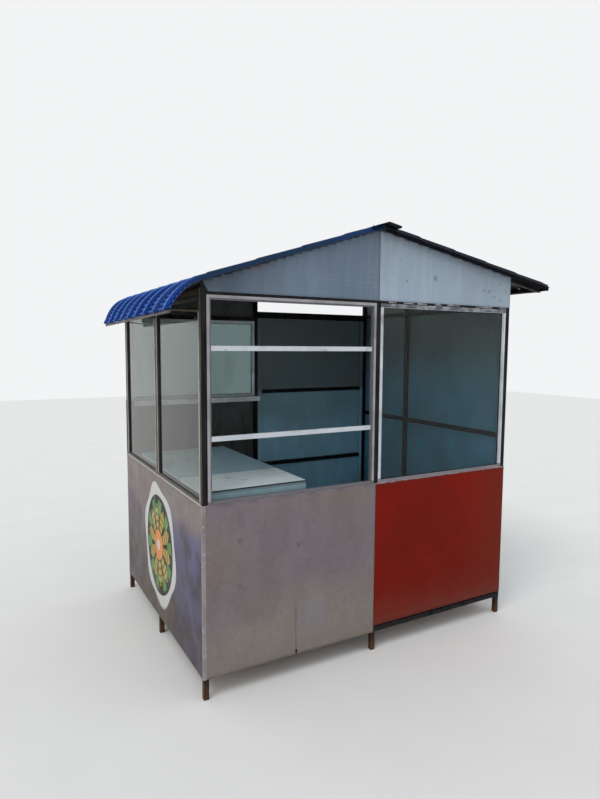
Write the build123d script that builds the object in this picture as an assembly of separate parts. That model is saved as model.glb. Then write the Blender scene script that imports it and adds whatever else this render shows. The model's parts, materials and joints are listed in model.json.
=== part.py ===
# Street kiosk of folded steel sheet on a welded frame of square tube.
# Millimetres. X runs along the front, Y from the front to the back, Z up from the ground.
# Sizes are measured from the front left corner of the walls at ground level, and save()
# moves every piece so that the origin is on the ground under the middle of the roof.

import os
from math import atan2, cos, degrees, radians, sin

from build123d import *

# Body
WIDTH = 1829.0
DEPTH = 1400.0
SHEET = 1.5
TUBE = 25.0
TUBE_WALL = 2.0
SEAM = 2.0

# Heights above the ground
PANEL_LOW = 95.0
RED_PANEL_LOW = 128.0
SILL_TOP = 876.0
HEAD_LOW = 1772.0
GABLE_SHOW = 12.0
WALL_RAIL_LOW = 1040.0
BACK_WINDOW_DROP = 42.0
BACK_WINDOW_HEIGHT = 515.0

# Centre lines of the posts between the corners
FRONT_MIDDLE_X = 915.0
BACK_MIDDLE_X = 890.0
LEFT_MIDDLE_Y = 706.0
RIGHT_MIDDLE_Y = 875.0

# Roof: the underside runs from the left eave up to the apex and down to the right wall,
# both heights measured up from the left eave
EAVE_GAP = 0.7
APEX_RISE = 299.0
RIGHT_WALL_RISE = 130.0
RIGHT_EAVE = 270.0
EAVE_LIP = 15.0
ROOF_OVERHANG = 50.0
PURLIN_LEFT_X = 455.0
PURLIN_RIGHT_X = 1370.0

# Roof sheet section
ROOF_SHEET = 1.5
RIB_PITCH = 180.0
RIB_FIRST = 30.0
RIB_BASE = 46.0
RIB_SHOULDER = 22.0
RIB_HEIGHT = 22.0
RIB_CROWN = 4.0

# Awning: the left sheet bends down past the left wall
AWNING_RADIUS = 236.0
AWNING_TURN = 47.0
AWNING_SEAT = 0.3

# Ridge cap and gable sheet ends
RIDGE_GAP = 4.0
CAP_WING = 78.0
CAP_OVERHANG = 22.0
CAP_SHEET = 1.2
CAP_CLEARANCE = 0.3
GABLE_TOE = 34.0
GABLE_HEEL = 11.0

# Flat bar of the awning brackets and the right edge
BAR = 5.0
BAR_WIDTH = 20.0
BRACKET_FOOT = 97.0
EDGE_BAR = 3.0
EDGE_BAR_HEIGHT = 18.0

# Windows
FRAME_FACE = 20.0
FRAME_SILL = 12.0
BEAD_FACE = 7.0
BEAD_STEP = 4.0
GLAZING_DEPTH = 8.0
GLASS = 4.0
FIT = 0.5
SERVING_BAR = 22.0
SERVING_BAR_DEPTH = 12.0
SERVING_BAR_RISE = 273.0
SERVING_BAR_DROP = 235.0

# Folded trim and ledge
TRIM = 1.0
TRIM_LEG = 14.0
LEDGE_DEPTH = 90.0
LEDGE_LIP = 30.0

# Floor
DECK = 12.0
JOIST_COUNT = 3

# Worktop
WORKTOP = 18.0
WORKTOP_RISE = 44.0
WORKTOP_RIGHT = 545.0
WORKTOP_NEAR = 62.0
WORKTOP_FAR = 1130.0
APRON_HEIGHT = 242.0

# Door
DOOR_GAP = 6.0
DOOR_RAIL_LOWS = (708.0, 1228.0)

# Hinges and handle
HINGE_LOWS = (360.0, 1480.0)
HINGE_RADIUS = 6.0
HINGE_LENGTH = 40.0
HINGE_STANDOFF = 8.0
HINGE_TAB = 6.0
PIN_RADIUS = 3.5
PIN_CLEARANCE = 0.3
HANDLE_RADIUS = 5.0
HANDLE_GRIP = 140.0
HANDLE_REACH = 45.0
HANDLE_BEND = 14.0
HANDLE_LOW = 1000.0
HANDLE_INSET = 45.0

# Places that follow from the sizes
NEAR_POST = SHEET
FAR_POST = DEPTH - SHEET - TUBE
LEFT_POST = SHEET
RIGHT_POST = WIDTH - SHEET - TUBE
FRONT_POST = FRONT_MIDDLE_X - TUBE / 2
BACK_POST = BACK_MIDDLE_X - TUBE / 2
LEFT_SIDE_POST = LEFT_MIDDLE_Y - TUBE / 2
RIGHT_SIDE_POST = RIGHT_MIDDLE_Y - TUBE / 2
BASE_TOP = PANEL_LOW + TUBE
HEAD_TOP = HEAD_LOW + TUBE
GABLE_LOW = HEAD_LOW + GABLE_SHOW
BACK_WINDOW_TOP = HEAD_LOW - BACK_WINDOW_DROP
BACK_WINDOW_LOW = BACK_WINDOW_TOP - BACK_WINDOW_HEIGHT
BRACKET_LOW = HEAD_TOP - BRACKET_FOOT
SERVING_BAR_LOWS = (SILL_TOP + SERVING_BAR_RISE, HEAD_LOW - SERVING_BAR_DROP)
WORKTOP_TOP = SILL_TOP + WORKTOP_RISE
APRON_LOW = WORKTOP_TOP - WORKTOP - APRON_HEIGHT
APEX_X = FRONT_MIDDLE_X
LEFT_SLOPE = atan2(APEX_RISE, APEX_X)
RIGHT_SLOPE = atan2(APEX_RISE - RIGHT_WALL_RISE, WIDTH - APEX_X)
EAVE_LEFT_Z = HEAD_TOP + TUBE / cos(LEFT_SLOPE) + EAVE_GAP
APEX_Z = EAVE_LEFT_Z + APEX_RISE
EAVE_RIGHT_Z = EAVE_LEFT_Z + RIGHT_WALL_RISE
ROOF_NEAR = -ROOF_OVERHANG
ROOF_FAR = DEPTH + ROOF_OVERHANG
ROOF_RIGHT = WIDTH + RIGHT_EAVE
RAFTER_RIGHT = ROOF_RIGHT - EAVE_LIP
RIB_TOP = ROOF_SHEET + RIB_HEIGHT
AWNING_END = LEFT_SLOPE + radians(AWNING_TURN)
AWNING_X = AWNING_RADIUS * sin(LEFT_SLOPE)
AWNING_Z = EAVE_LEFT_Z - AWNING_RADIUS * cos(LEFT_SLOPE)
ROOF_LEFT_TIP = AWNING_X - (AWNING_RADIUS + RIB_TOP) * sin(AWNING_END)
ROOF_RIGHT_TIP = ROOF_RIGHT + RIB_TOP * sin(RIGHT_SLOPE)
CENTRE_X = (ROOF_LEFT_TIP + ROOF_RIGHT_TIP) / 2
CENTRE_Y = DEPTH / 2

# Spans that several pieces share, as low and high limits
NEAR_WALL = (NEAR_POST, NEAR_POST + TUBE)
FAR_WALL = (FAR_POST, FAR_POST + TUBE)
LEFT_WALL = (LEFT_POST, LEFT_POST + TUBE)
RIGHT_WALL = (RIGHT_POST, RIGHT_POST + TUBE)
FRONT_BAYS = ((LEFT_POST + TUBE, FRONT_POST), (FRONT_POST + TUBE, RIGHT_POST))
BACK_BAYS = ((LEFT_POST + TUBE, BACK_POST), (BACK_POST + TUBE, RIGHT_POST))
LEFT_BAYS = ((NEAR_POST + TUBE, LEFT_SIDE_POST), (LEFT_SIDE_POST + TUBE, FAR_POST))
RIGHT_BAYS = ((NEAR_POST + TUBE, RIGHT_SIDE_POST), (RIGHT_SIDE_POST + TUBE, FAR_POST))
BASE = (PANEL_LOW, BASE_TOP)
SILL = (SILL_TOP - TUBE, SILL_TOP)
HEAD = (HEAD_LOW, HEAD_TOP)
WALL_RAIL = (WALL_RAIL_LOW, WALL_RAIL_LOW + TUBE)
DOOR_X = (BACK_POST + TUBE + DOOR_GAP, RIGHT_POST - DOOR_GAP)
DOOR_Z = (BASE_TOP + DOOR_GAP, HEAD_LOW - DOOR_GAP)
DECK_TOP = BASE_TOP + DECK
HINGE_X = RIGHT_POST - DOOR_GAP / 2
HINGE_Y = DEPTH + HINGE_STANDOFF


def save(name, *solids):
    """Write one node, moved so that the origin is under the middle of the roof."""
    moved = [Pos(-CENTRE_X, -CENTRE_Y, 0) * solid for solid in solids]
    shape = moved[0] if len(moved) == 1 else Compound(children=moved)
    export_step(shape, f"parts/{name}.step")


def block(x, y, z):
    """A box between low and high limits on each axis."""
    size = Box(x[1] - x[0], y[1] - y[0], z[1] - z[0], align=(Align.MIN, Align.MIN, Align.MIN))
    return Pos(x[0], y[0], z[0]) * size


def bore(x, y, z, along):
    """The hollow of a square tube, carried through its own ends into what it is welded to."""
    reach = {"x": TUBE_WALL, "y": TUBE_WALL, "z": TUBE_WALL}
    reach[along] = -TUBE_WALL - 1
    return block(
        (x[0] + reach["x"], x[1] - reach["x"]),
        (y[0] + reach["y"], y[1] - reach["y"]),
        (z[0] + reach["z"], z[1] - reach["z"]),
    )


def tube(x, y, z, along):
    """A straight square tube, open at both ends."""
    return block(x, y, z) - bore(x, y, z, along)


def tube_frame(members):
    """Square tubes welded into one frame, hollow right through their joints."""
    frame = block(*members[0][:3])
    for member in members[1:]:
        frame += block(*member[:3])
    for member in members:
        frame -= bore(*member)
    return frame


def prism(points, y):
    """An outline in X and Z, carried along Y between two limits."""
    face = make_face(Polyline(*[(px, y[0], pz) for px, pz in points], close=True))
    return extrude(face, amount=y[1] - y[0], dir=(0, 1, 0))


def roof_line(x):
    """Height of the underside of the straight roof slopes."""
    if x < APEX_X:
        return EAVE_LEFT_Z + x * (APEX_Z - EAVE_LEFT_Z) / APEX_X
    return APEX_Z - (x - APEX_X) * (APEX_Z - EAVE_RIGHT_Z) / (WIDTH - APEX_X)


def slope_layer(x, slope, top, bottom, y):
    """A layer under the roof line, its depths square to the slope and its ends upright."""
    upper = top / cos(slope)
    lower = bottom / cos(slope)
    return prism(
        [
            (x[0], roof_line(x[0]) - lower),
            (x[1], roof_line(x[1]) - lower),
            (x[1], roof_line(x[1]) - upper),
            (x[0], roof_line(x[0]) - upper),
        ],
        y,
    )


def rafter(x, slope, y):
    """A square tube under the roof line."""
    hollow = slope_layer(x, slope, TUBE_WALL, TUBE - TUBE_WALL, (y[0] + TUBE_WALL, y[1] - TUBE_WALL))
    return slope_layer(x, slope, 0, TUBE, y) - hollow


def purlin(x, slope, y):
    """A square tube along Y, laid in the slope with its top under the roof sheet."""

    def corner(along, down):
        return (
            x + along * cos(slope) + down * sin(slope),
            roof_line(x) + along * sin(slope) - down * cos(slope),
        )

    def section(inset, limits):
        low, high = inset, TUBE - inset
        return prism([corner(low, low), corner(high, low), corner(high, high), corner(low, high)], limits)

    return section(0, y) - section(TUBE_WALL, y)


def foot_post(x, y, top):
    """An upright square tube from the ground, closed at its foot."""
    return tube((x, x + TUBE), (y, y + TUBE), (0, top), "z") + block(
        (x, x + TUBE), (y, y + TUBE), (0, TUBE_WALL)
    )


def post(x, y):
    """A corner or middle post from the ground to the underside of the rafters."""
    below = prism(
        [
            (0, -1),
            (WIDTH, -1),
            (WIDTH, roof_line(WIDTH) - TUBE / cos(RIGHT_SLOPE)),
            (APEX_X, APEX_Z - TUBE / cos(RIGHT_SLOPE)),
            (APEX_X, APEX_Z - TUBE / cos(LEFT_SLOPE)),
            (0, EAVE_LEFT_Z - TUBE / cos(LEFT_SLOPE)),
        ],
        (y - 1, y + TUBE + 1),
    )
    return foot_post(x, y, APEX_Z) & below


def build_frame():
    save("front_posts", *[post(x, NEAR_POST) for x in (LEFT_POST, FRONT_POST, RIGHT_POST)])
    save("back_posts", *[post(x, FAR_POST) for x in (LEFT_POST, BACK_POST, RIGHT_POST)])
    left_side = foot_post(LEFT_POST, LEFT_SIDE_POST, HEAD_LOW)
    save("side_posts", left_side, post(RIGHT_POST, RIGHT_SIDE_POST))

    front = [tube(bay, NEAR_WALL, BASE, "x") for bay in FRONT_BAYS]
    back = [tube(bay, FAR_WALL, BASE, "x") for bay in BACK_BAYS]
    left = [tube(LEFT_WALL, bay, BASE, "y") for bay in LEFT_BAYS]
    right = [tube(RIGHT_WALL, bay, BASE, "y") for bay in RIGHT_BAYS]
    save("base_rails", *front, *back, *left, *right)

    front = [tube(bay, NEAR_WALL, SILL, "x") for bay in FRONT_BAYS]
    left = [tube(LEFT_WALL, bay, SILL, "y") for bay in LEFT_BAYS]
    back_sill = (BACK_WINDOW_LOW - TUBE, BACK_WINDOW_LOW)
    save("sill_rails", *front, *left, tube(BACK_BAYS[0], FAR_WALL, back_sill, "x"))

    front = [tube(bay, NEAR_WALL, HEAD, "x") for bay in FRONT_BAYS]
    left = tube(LEFT_WALL, (NEAR_POST + TUBE, FAR_POST), HEAD, "y")
    right = [tube(RIGHT_WALL, bay, HEAD, "y") for bay in RIGHT_BAYS]
    window_head = tube(BACK_BAYS[0], FAR_WALL, (BACK_WINDOW_TOP, BACK_WINDOW_TOP + TUBE), "x")
    door_head = tube(BACK_BAYS[1], FAR_WALL, HEAD, "x")
    save("head_rails", *front, left, *right, window_head, door_head)
    save("right_wall_rails", *[tube(RIGHT_WALL, bay, WALL_RAIL, "y") for bay in RIGHT_BAYS])


def build_floor():
    between = (NEAR_POST + TUBE, FAR_POST)
    inside = WIDTH - 2 * (SHEET + TUBE)
    spacing = inside / (JOIST_COUNT + 1)
    lows = [LEFT_POST + TUBE + spacing * (i + 1) - TUBE / 2 for i in range(JOIST_COUNT)]
    save("floor_joists", *[tube((low, low + TUBE), between, BASE, "y") for low in lows])
    deck_x = (LEFT_POST + TUBE + FIT, RIGHT_POST - FIT)
    deck_y = (NEAR_POST + TUBE + FIT, FAR_POST - DOOR_GAP)
    save("floor_deck", block(deck_x, deck_y, (BASE_TOP, DECK_TOP)))


def build_roof_frame():
    rafters = []
    for wall in (NEAR_WALL, FAR_WALL):
        rafters.append(rafter((LEFT_POST, APEX_X), LEFT_SLOPE, wall))
        rafters.append(rafter((APEX_X, RAFTER_RIGHT), RIGHT_SLOPE, wall))
    save("rafters_front", *rafters[:2])
    save("rafters_back", *rafters[2:])

    between = (NEAR_POST + TUBE, FAR_POST)
    ridge_top = min(roof_line(APEX_X - TUBE / 2), roof_line(APEX_X + TUBE / 2))
    ridge_x = (APEX_X - TUBE / 2, APEX_X + TUBE / 2)
    save("ridge_beam", tube(ridge_x, between, (ridge_top - TUBE, ridge_top), "y"))
    left = [purlin(x, LEFT_SLOPE, between) for x in (LEFT_POST, PURLIN_LEFT_X)]
    save("purlins_left", *left)
    outer_x = RAFTER_RIGHT - TUBE * cos(RIGHT_SLOPE)
    right = [purlin(x, -RIGHT_SLOPE, between) for x in (PURLIN_RIGHT_X, RIGHT_POST, outer_x)]
    save("purlins_right", *right)


def rib_section(plane):
    """Section of the tile-profile sheet: flat pans between ribs with rounded crowns."""
    shoulder = RIB_HEIGHT - RIB_CROWN
    count = int((ROOF_FAR - ROOF_NEAR - RIB_FIRST - RIB_BASE / 2) // RIB_PITCH) + 1
    centres = [ROOF_NEAR + RIB_FIRST + RIB_PITCH * i for i in range(count)]

    def skin(height):
        lines = []
        last = (ROOF_NEAR, height)
        for centre in centres:
            foot = (centre - RIB_BASE / 2, height)
            start = (centre - RIB_SHOULDER / 2, height + shoulder)
            end = (centre + RIB_SHOULDER / 2, height + shoulder)
            lines.append(Line(last, foot))
            lines.append(Line(foot, start))
            lines.append(ThreePointArc(start, (centre, height + RIB_HEIGHT), end))
            last = (centre + RIB_BASE / 2, height)
            lines.append(Line(end, last))
        lines.append(Line(last, (ROOF_FAR, height)))
        return lines

    ends = [Line((y, 0), (y, ROOF_SHEET)) for y in (ROOF_NEAR, ROOF_FAR)]
    face = make_face(skin(0) + skin(ROOF_SHEET) + ends)
    return plane * face


def build_roof():
    # The left sheet is one sheet: a straight run, then the awning bent round a level axis.
    start = Plane(
        origin=(0, 0, EAVE_LEFT_Z), x_dir=(0, 1, 0), z_dir=(cos(LEFT_SLOPE), 0, sin(LEFT_SLOPE))
    )
    section = rib_section(start)
    straight = extrude(section, amount=APEX_X / cos(LEFT_SLOPE) - RIDGE_GAP)
    bend = Axis((AWNING_X, 0, AWNING_Z), (0, -1, 0))
    awning = revolve(section, bend, revolution_arc=AWNING_TURN)
    save("roof_sheet_left", straight + awning)

    top = Plane(
        origin=(APEX_X, 0, APEX_Z), x_dir=(0, 1, 0), z_dir=(cos(RIGHT_SLOPE), 0, -sin(RIGHT_SLOPE))
    ).offset(RIDGE_GAP)
    length = (ROOF_RIGHT - APEX_X) / cos(RIGHT_SLOPE) - RIDGE_GAP
    save("roof_sheet_right", extrude(rib_section(top), amount=length))

    def cap_points(height):
        """Left end, peak and right end of a line at one height square to both slopes."""
        spread = height / sin(LEFT_SLOPE + RIGHT_SLOPE)
        peak_x = APEX_X + spread * (cos(LEFT_SLOPE) - cos(RIGHT_SLOPE))
        peak_z = APEX_Z + spread * (sin(LEFT_SLOPE) + sin(RIGHT_SLOPE))
        left = (peak_x - CAP_WING * cos(LEFT_SLOPE), peak_z - CAP_WING * sin(LEFT_SLOPE))
        right = (peak_x + CAP_WING * cos(RIGHT_SLOPE), peak_z - CAP_WING * sin(RIGHT_SLOPE))
        return [left, (peak_x, peak_z), right]

    under = cap_points(RIB_TOP + CAP_CLEARANCE)
    over = cap_points(RIB_TOP + CAP_CLEARANCE + CAP_SHEET)
    save("ridge_cap", prism(under + over[::-1], (ROOF_NEAR - CAP_OVERHANG, ROOF_FAR + CAP_OVERHANG)))

    barge_x = (APEX_X + RIDGE_GAP, RAFTER_RIGHT + EDGE_BAR)
    drop = EDGE_BAR_HEIGHT
    near = slope_layer(barge_x, RIGHT_SLOPE, 0, drop, (ROOF_NEAR, ROOF_NEAR + EDGE_BAR))
    far = slope_layer(barge_x, RIGHT_SLOPE, 0, drop, (ROOF_FAR - EDGE_BAR, ROOF_FAR))
    edge_x = (RAFTER_RIGHT, RAFTER_RIGHT + EDGE_BAR)
    edge_y = (ROOF_NEAR + EDGE_BAR + FIT, ROOF_FAR - EDGE_BAR - FIT)
    edge = slope_layer(edge_x, RIGHT_SLOPE, 0, drop, edge_y)
    save("right_edge_bars", near, far, edge)


def bracket(y_middle):
    """A flat-bar bracket: a foot on the post, a curved bar under the awning and a stay."""
    outer = AWNING_RADIUS - AWNING_SEAT
    centre = (AWNING_X, AWNING_Z)
    ring = Pos(*centre) * (Circle(outer) - Circle(outer - BAR))
    reach = outer * 2
    low_end = (AWNING_X - reach * sin(AWNING_END), AWNING_Z + reach * cos(AWNING_END))
    high_end = (AWNING_X, AWNING_Z + reach)
    wedge = make_face(Polyline(centre, low_end, (low_end[0], high_end[1]), high_end, close=True))
    outside = Pos(LEFT_POST - reach / 2, AWNING_Z + reach / 2) * Rectangle(reach, reach * 2)
    curve = ring & wedge & outside
    foot = Pos(LEFT_POST - BAR / 2, BRACKET_LOW + BRACKET_FOOT / 2) * Rectangle(BAR, BRACKET_FOOT)
    drop = BRACKET_LOW + BAR - AWNING_Z
    stay_left = AWNING_X - ((outer - BAR / 2) ** 2 - drop**2) ** 0.5
    stay_length = LEFT_POST - stay_left
    stay_middle = (LEFT_POST - stay_length / 2, BRACKET_LOW + BAR / 2)
    stay = Pos(*stay_middle) * Rectangle(stay_length, BAR)
    side = Plane(origin=(0, y_middle + BAR_WIDTH / 2, 0), x_dir=(1, 0, 0), z_dir=(0, -1, 0))
    return extrude(side * (curve + foot + stay), amount=BAR_WIDTH)


def build_brackets():
    places = (NEAR_POST + TUBE / 2, LEFT_MIDDLE_Y, FAR_POST + TUBE / 2)
    save("awning_brackets", *[bracket(y) for y in places])


def build_sheets():
    joint_left = FRONT_MIDDLE_X - SEAM / 2
    joint_right = FRONT_MIDDLE_X + SEAM / 2
    front = (0, SHEET)
    back = (DEPTH - SHEET, DEPTH)
    save("front_left_lower_panel", block((0, joint_left), front, (PANEL_LOW, SILL_TOP)))
    save("front_right_lower_panel", block((joint_right, WIDTH), front, (RED_PANEL_LOW, SILL_TOP)))
    save("left_lower_panel", block((0, SHEET), (SHEET, DEPTH - SHEET), (PANEL_LOW, SILL_TOP)))
    back_panel_z = (PANEL_LOW, BACK_WINDOW_LOW)
    save("back_left_lower_panel", block((0, BACK_MIDDLE_X), back, back_panel_z))

    right = (WIDTH - SHEET, WIDTH)
    right_z = (PANEL_LOW, EAVE_RIGHT_Z)
    near = block(right, (SHEET, RIGHT_MIDDLE_Y - SEAM / 2), right_z)
    far = block(right, (RIGHT_MIDDLE_Y + SEAM / 2, DEPTH - SHEET), right_z)
    # Notches let the rafters run out through the sheets to carry the right eave.
    notch_x = (RIGHT_POST, WIDTH + 1)
    notches = [slope_layer(notch_x, RIGHT_SLOPE, -FIT, TUBE + FIT, wall) for wall in (NEAR_WALL, FAR_WALL)]
    save("right_wall_sheets", near - notches[0], far - notches[1])

    def gable(x_low, x_high, toe, low, y):
        """A sheet from a level lower edge up to the roof line, its outer end cut back."""
        outline = [(toe, low), (x_high, low), (x_high, roof_line(x_high)), (x_low, roof_line(x_low))]
        return prism(outline, y)

    save("front_gable_left", gable(GABLE_HEEL, joint_left, GABLE_TOE, GABLE_LOW, front))
    save("front_gable_right", gable(joint_right, WIDTH, joint_right, GABLE_LOW, front))
    back_low = BACK_WINDOW_TOP + GABLE_SHOW
    back_high = BACK_MIDDLE_X + TUBE / 2
    save("back_gable_left", gable(GABLE_HEEL, back_high, GABLE_TOE, back_low, back))


def build_trim():
    strip_z = (SILL_TOP, SILL_TOP + TRIM)
    lip_z = (SILL_TOP - TRIM_LEG, SILL_TOP + TRIM)
    limits = ((TRIM_LEG, FRONT_MIDDLE_X - SEAM / 2), (FRONT_MIDDLE_X + SEAM / 2, WIDTH))
    strips = []
    for bay, lip in zip(FRONT_BAYS, limits):
        strips.append(block(bay, (-TRIM, NEAR_POST + TUBE), strip_z) + block(lip, (-TRIM, 0), lip_z))
    side = block((-TRIM, 0), (TRIM_LEG, DEPTH), lip_z)
    for bay in LEFT_BAYS:
        side += block((-TRIM, LEFT_POST + TUBE), bay, strip_z)
    save("sill_strips", *strips, side)

    corner_z = (PANEL_LOW, SILL_TOP)
    corner = block((-TRIM, TRIM_LEG), (-TRIM, 0), corner_z) + block((-TRIM, 0), (-TRIM, TRIM_LEG), corner_z)
    save("corner_trim", corner)

    shelf_y = (FAR_POST - LEDGE_DEPTH, FAR_POST + TUBE)
    shelf = block(BACK_BAYS[0], shelf_y, (BACK_WINDOW_LOW, BACK_WINDOW_LOW + TRIM))
    lip_y = (FAR_POST - LEDGE_DEPTH, FAR_POST - LEDGE_DEPTH + TRIM)
    lip = block(BACK_BAYS[0], lip_y, (BACK_WINDOW_LOW - LEDGE_LIP, BACK_WINDOW_LOW + TRIM))
    save("back_window_ledge", shelf + lip)


def bay_block(along, bay, wall, z):
    """A box in a wall: bay is its span along the wall and wall its span through it."""
    return block(bay, wall, z) if along == "x" else block(wall, bay, z)


def window_frame(along, bay, wall, z):
    """A frame round a sight opening, with a bead set back from both faces."""
    sight = (bay[0] + FRAME_FACE, bay[1] - FRAME_FACE)
    sight_z = (z[0] + FRAME_SILL, z[1] - FRAME_FACE)
    through = (wall[0] - 1, wall[1] + 1)
    frame = bay_block(along, bay, wall, z) - bay_block(along, sight, through, sight_z)
    bead = (sight[0] - BEAD_FACE, sight[1] + BEAD_FACE)
    bead_z = (sight_z[0] - BEAD_FACE, sight_z[1] + BEAD_FACE)
    for face in ((wall[0] - 1, wall[0] + BEAD_STEP), (wall[1] - BEAD_STEP, wall[1] + 1)):
        frame -= bay_block(along, bead, face, bead_z)
    return frame


def glazing(bay, wall, z, clearance):
    """Limits of the glass, or of its groove when the clearance is added."""
    edge = FRAME_FACE - GLAZING_DEPTH + FIT - clearance
    sill = FRAME_SILL - GLAZING_DEPTH + FIT - clearance
    middle = (wall[0] + wall[1]) / 2
    half = GLASS / 2 + clearance
    return (bay[0] + edge, bay[1] - edge), (middle - half, middle + half), (z[0] + sill, z[1] - edge)


def save_window(name, along, bay, wall, z):
    """A glazed frame and its pane, set between two posts."""
    bay = (bay[0] + FIT, bay[1] - FIT)
    groove = bay_block(along, *glazing(bay, wall, z, FIT))
    save(f"window_frame_{name}", window_frame(along, bay, wall, z) - groove)
    save(f"glass_{name}", bay_block(along, *glazing(bay, wall, z, 0)))


def build_windows():
    z = (SILL_TOP + TRIM, HEAD_LOW - FIT)
    save_window("front_right", "x", FRONT_BAYS[1], NEAR_WALL, z)
    save_window("left_near", "y", LEFT_BAYS[0], LEFT_WALL, z)
    save_window("left_far", "y", LEFT_BAYS[1], LEFT_WALL, z)
    back_z = (BACK_WINDOW_LOW + TRIM, BACK_WINDOW_TOP - FIT)
    save_window("back_left", "x", BACK_BAYS[0], FAR_WALL, back_z)

    # The front left bay is open for serving, with two level bars across it.
    bay = (FRONT_BAYS[0][0] + FIT, FRONT_BAYS[0][1] - FIT)
    frame = window_frame("x", bay, NEAR_WALL, z)
    middle = NEAR_POST + TUBE / 2
    bar_y = (middle - SERVING_BAR_DEPTH / 2, middle + SERVING_BAR_DEPTH / 2)
    for low in SERVING_BAR_LOWS:
        frame += block((bay[0] + FRAME_FACE, bay[1] - FRAME_FACE), bar_y, (low, low + SERVING_BAR))
    save("serving_frame_front_left", frame)


def build_worktop():
    left = LEFT_POST + TUBE + FIT
    top_y = (WORKTOP_NEAR, WORKTOP_FAR)
    save("worktop", block((left, WORKTOP_RIGHT), top_y, (WORKTOP_TOP - WORKTOP, WORKTOP_TOP)))

    beam_z = (WORKTOP_TOP - WORKTOP - TUBE, WORKTOP_TOP - WORKTOP)
    leg_z = (DECK_TOP, WORKTOP_TOP - WORKTOP)
    near = WORKTOP_NEAR + SHEET
    leg_xs = [(left, left + TUBE), (WORKTOP_RIGHT - TUBE, WORKTOP_RIGHT)]
    leg_ys = [(near, near + TUBE), (WORKTOP_FAR - TUBE, WORKTOP_FAR)]
    members = [(x, y, leg_z, "z") for x in leg_xs for y in leg_ys]
    members += [((leg_xs[0][1], leg_xs[1][0]), y, beam_z, "x") for y in leg_ys]
    members += [(x, (leg_ys[0][1], leg_ys[1][0]), beam_z, "y") for x in leg_xs]
    save("worktop_frame", tube_frame(members))
    apron_z = (APRON_LOW, WORKTOP_TOP - WORKTOP)
    save("worktop_apron", block((left, WORKTOP_RIGHT), (WORKTOP_NEAR, near), apron_z))


def build_door():
    stiles = [(DOOR_X[0], DOOR_X[0] + TUBE), (DOOR_X[1] - TUBE, DOOR_X[1])]
    lows = (DOOR_Z[0], *DOOR_RAIL_LOWS, DOOR_Z[1] - TUBE)
    members = [(x, FAR_WALL, DOOR_Z, "z") for x in stiles]
    members += [((stiles[0][1], stiles[1][0]), FAR_WALL, (low, low + TUBE), "x") for low in lows]
    save("door_frame", tube_frame(members))
    save("door_sheet", block(DOOR_X, (DEPTH - SHEET, DEPTH), DOOR_Z))

    def barrel(radius, low, high):
        return Pos(HINGE_X, HINGE_Y, low) * Cylinder(
            radius, high - low, align=(Align.CENTER, Align.CENTER, Align.MIN)
        )

    fixed = []
    moving = []
    for low in HINGE_LOWS:
        split = low + HINGE_LENGTH
        top = split + HINGE_LENGTH
        post_tab = block((RIGHT_POST, RIGHT_POST + HINGE_TAB), (DEPTH - SHEET, HINGE_Y), (low, split))
        pin = barrel(PIN_RADIUS, low, top)
        fixed.append(barrel(HINGE_RADIUS, low, split) + pin + post_tab)
        start = split + PIN_CLEARANCE
        leaf_tab = block((DOOR_X[1] - HINGE_TAB, DOOR_X[1]), (DEPTH, HINGE_Y), (start, top))
        hole = barrel(PIN_RADIUS + PIN_CLEARANCE, low, top + 1)
        moving.append(barrel(HINGE_RADIUS, start, top) + leaf_tab - hole)
    save("hinge_pins", *fixed)
    save("hinge_sleeves", *moving)

    x = DOOR_X[0] + HANDLE_INSET
    out = DEPTH + HANDLE_REACH
    high = HANDLE_LOW + HANDLE_GRIP
    corners = [(x, DEPTH, HANDLE_LOW), (x, out, HANDLE_LOW), (x, out, high), (x, DEPTH, high)]
    path = FilletPolyline(*corners, radius=HANDLE_BEND)
    foot = Plane(origin=corners[0], z_dir=(0, 1, 0))
    save("door_handle", sweep(foot * Circle(HANDLE_RADIUS), path))


os.makedirs("parts", exist_ok=True)
build_frame()
build_floor()
build_roof_frame()
build_roof()
build_brackets()
build_sheets()
build_trim()
build_windows()
build_worktop()
build_door()
print("roof from", round(ROOF_LEFT_TIP, 1), "to", round(ROOF_RIGHT_TIP, 1))
print("slopes", round(degrees(LEFT_SLOPE), 1), "and", round(degrees(RIGHT_SLOPE), 1))
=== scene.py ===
# %% [markdown]
# # Street kiosk
# The real kiosk is a frame of welded square tube, clad in steel sheet, with glass on two sides,
# an open bay to serve from and a blue ribbed roof that rolls down into an awning on the left.
# Its pieces already stand in a fixed frame at their real size. This lesson gives them their looks:
# finishes from shader nodes, and the small things that a welder and the weather leave on a kiosk.

# %% Load the fixed frame
import json
from math import atan2, cos, pi, radians, sin

import bmesh
import bpy
from mathutils import Matrix, Vector, noise


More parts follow.
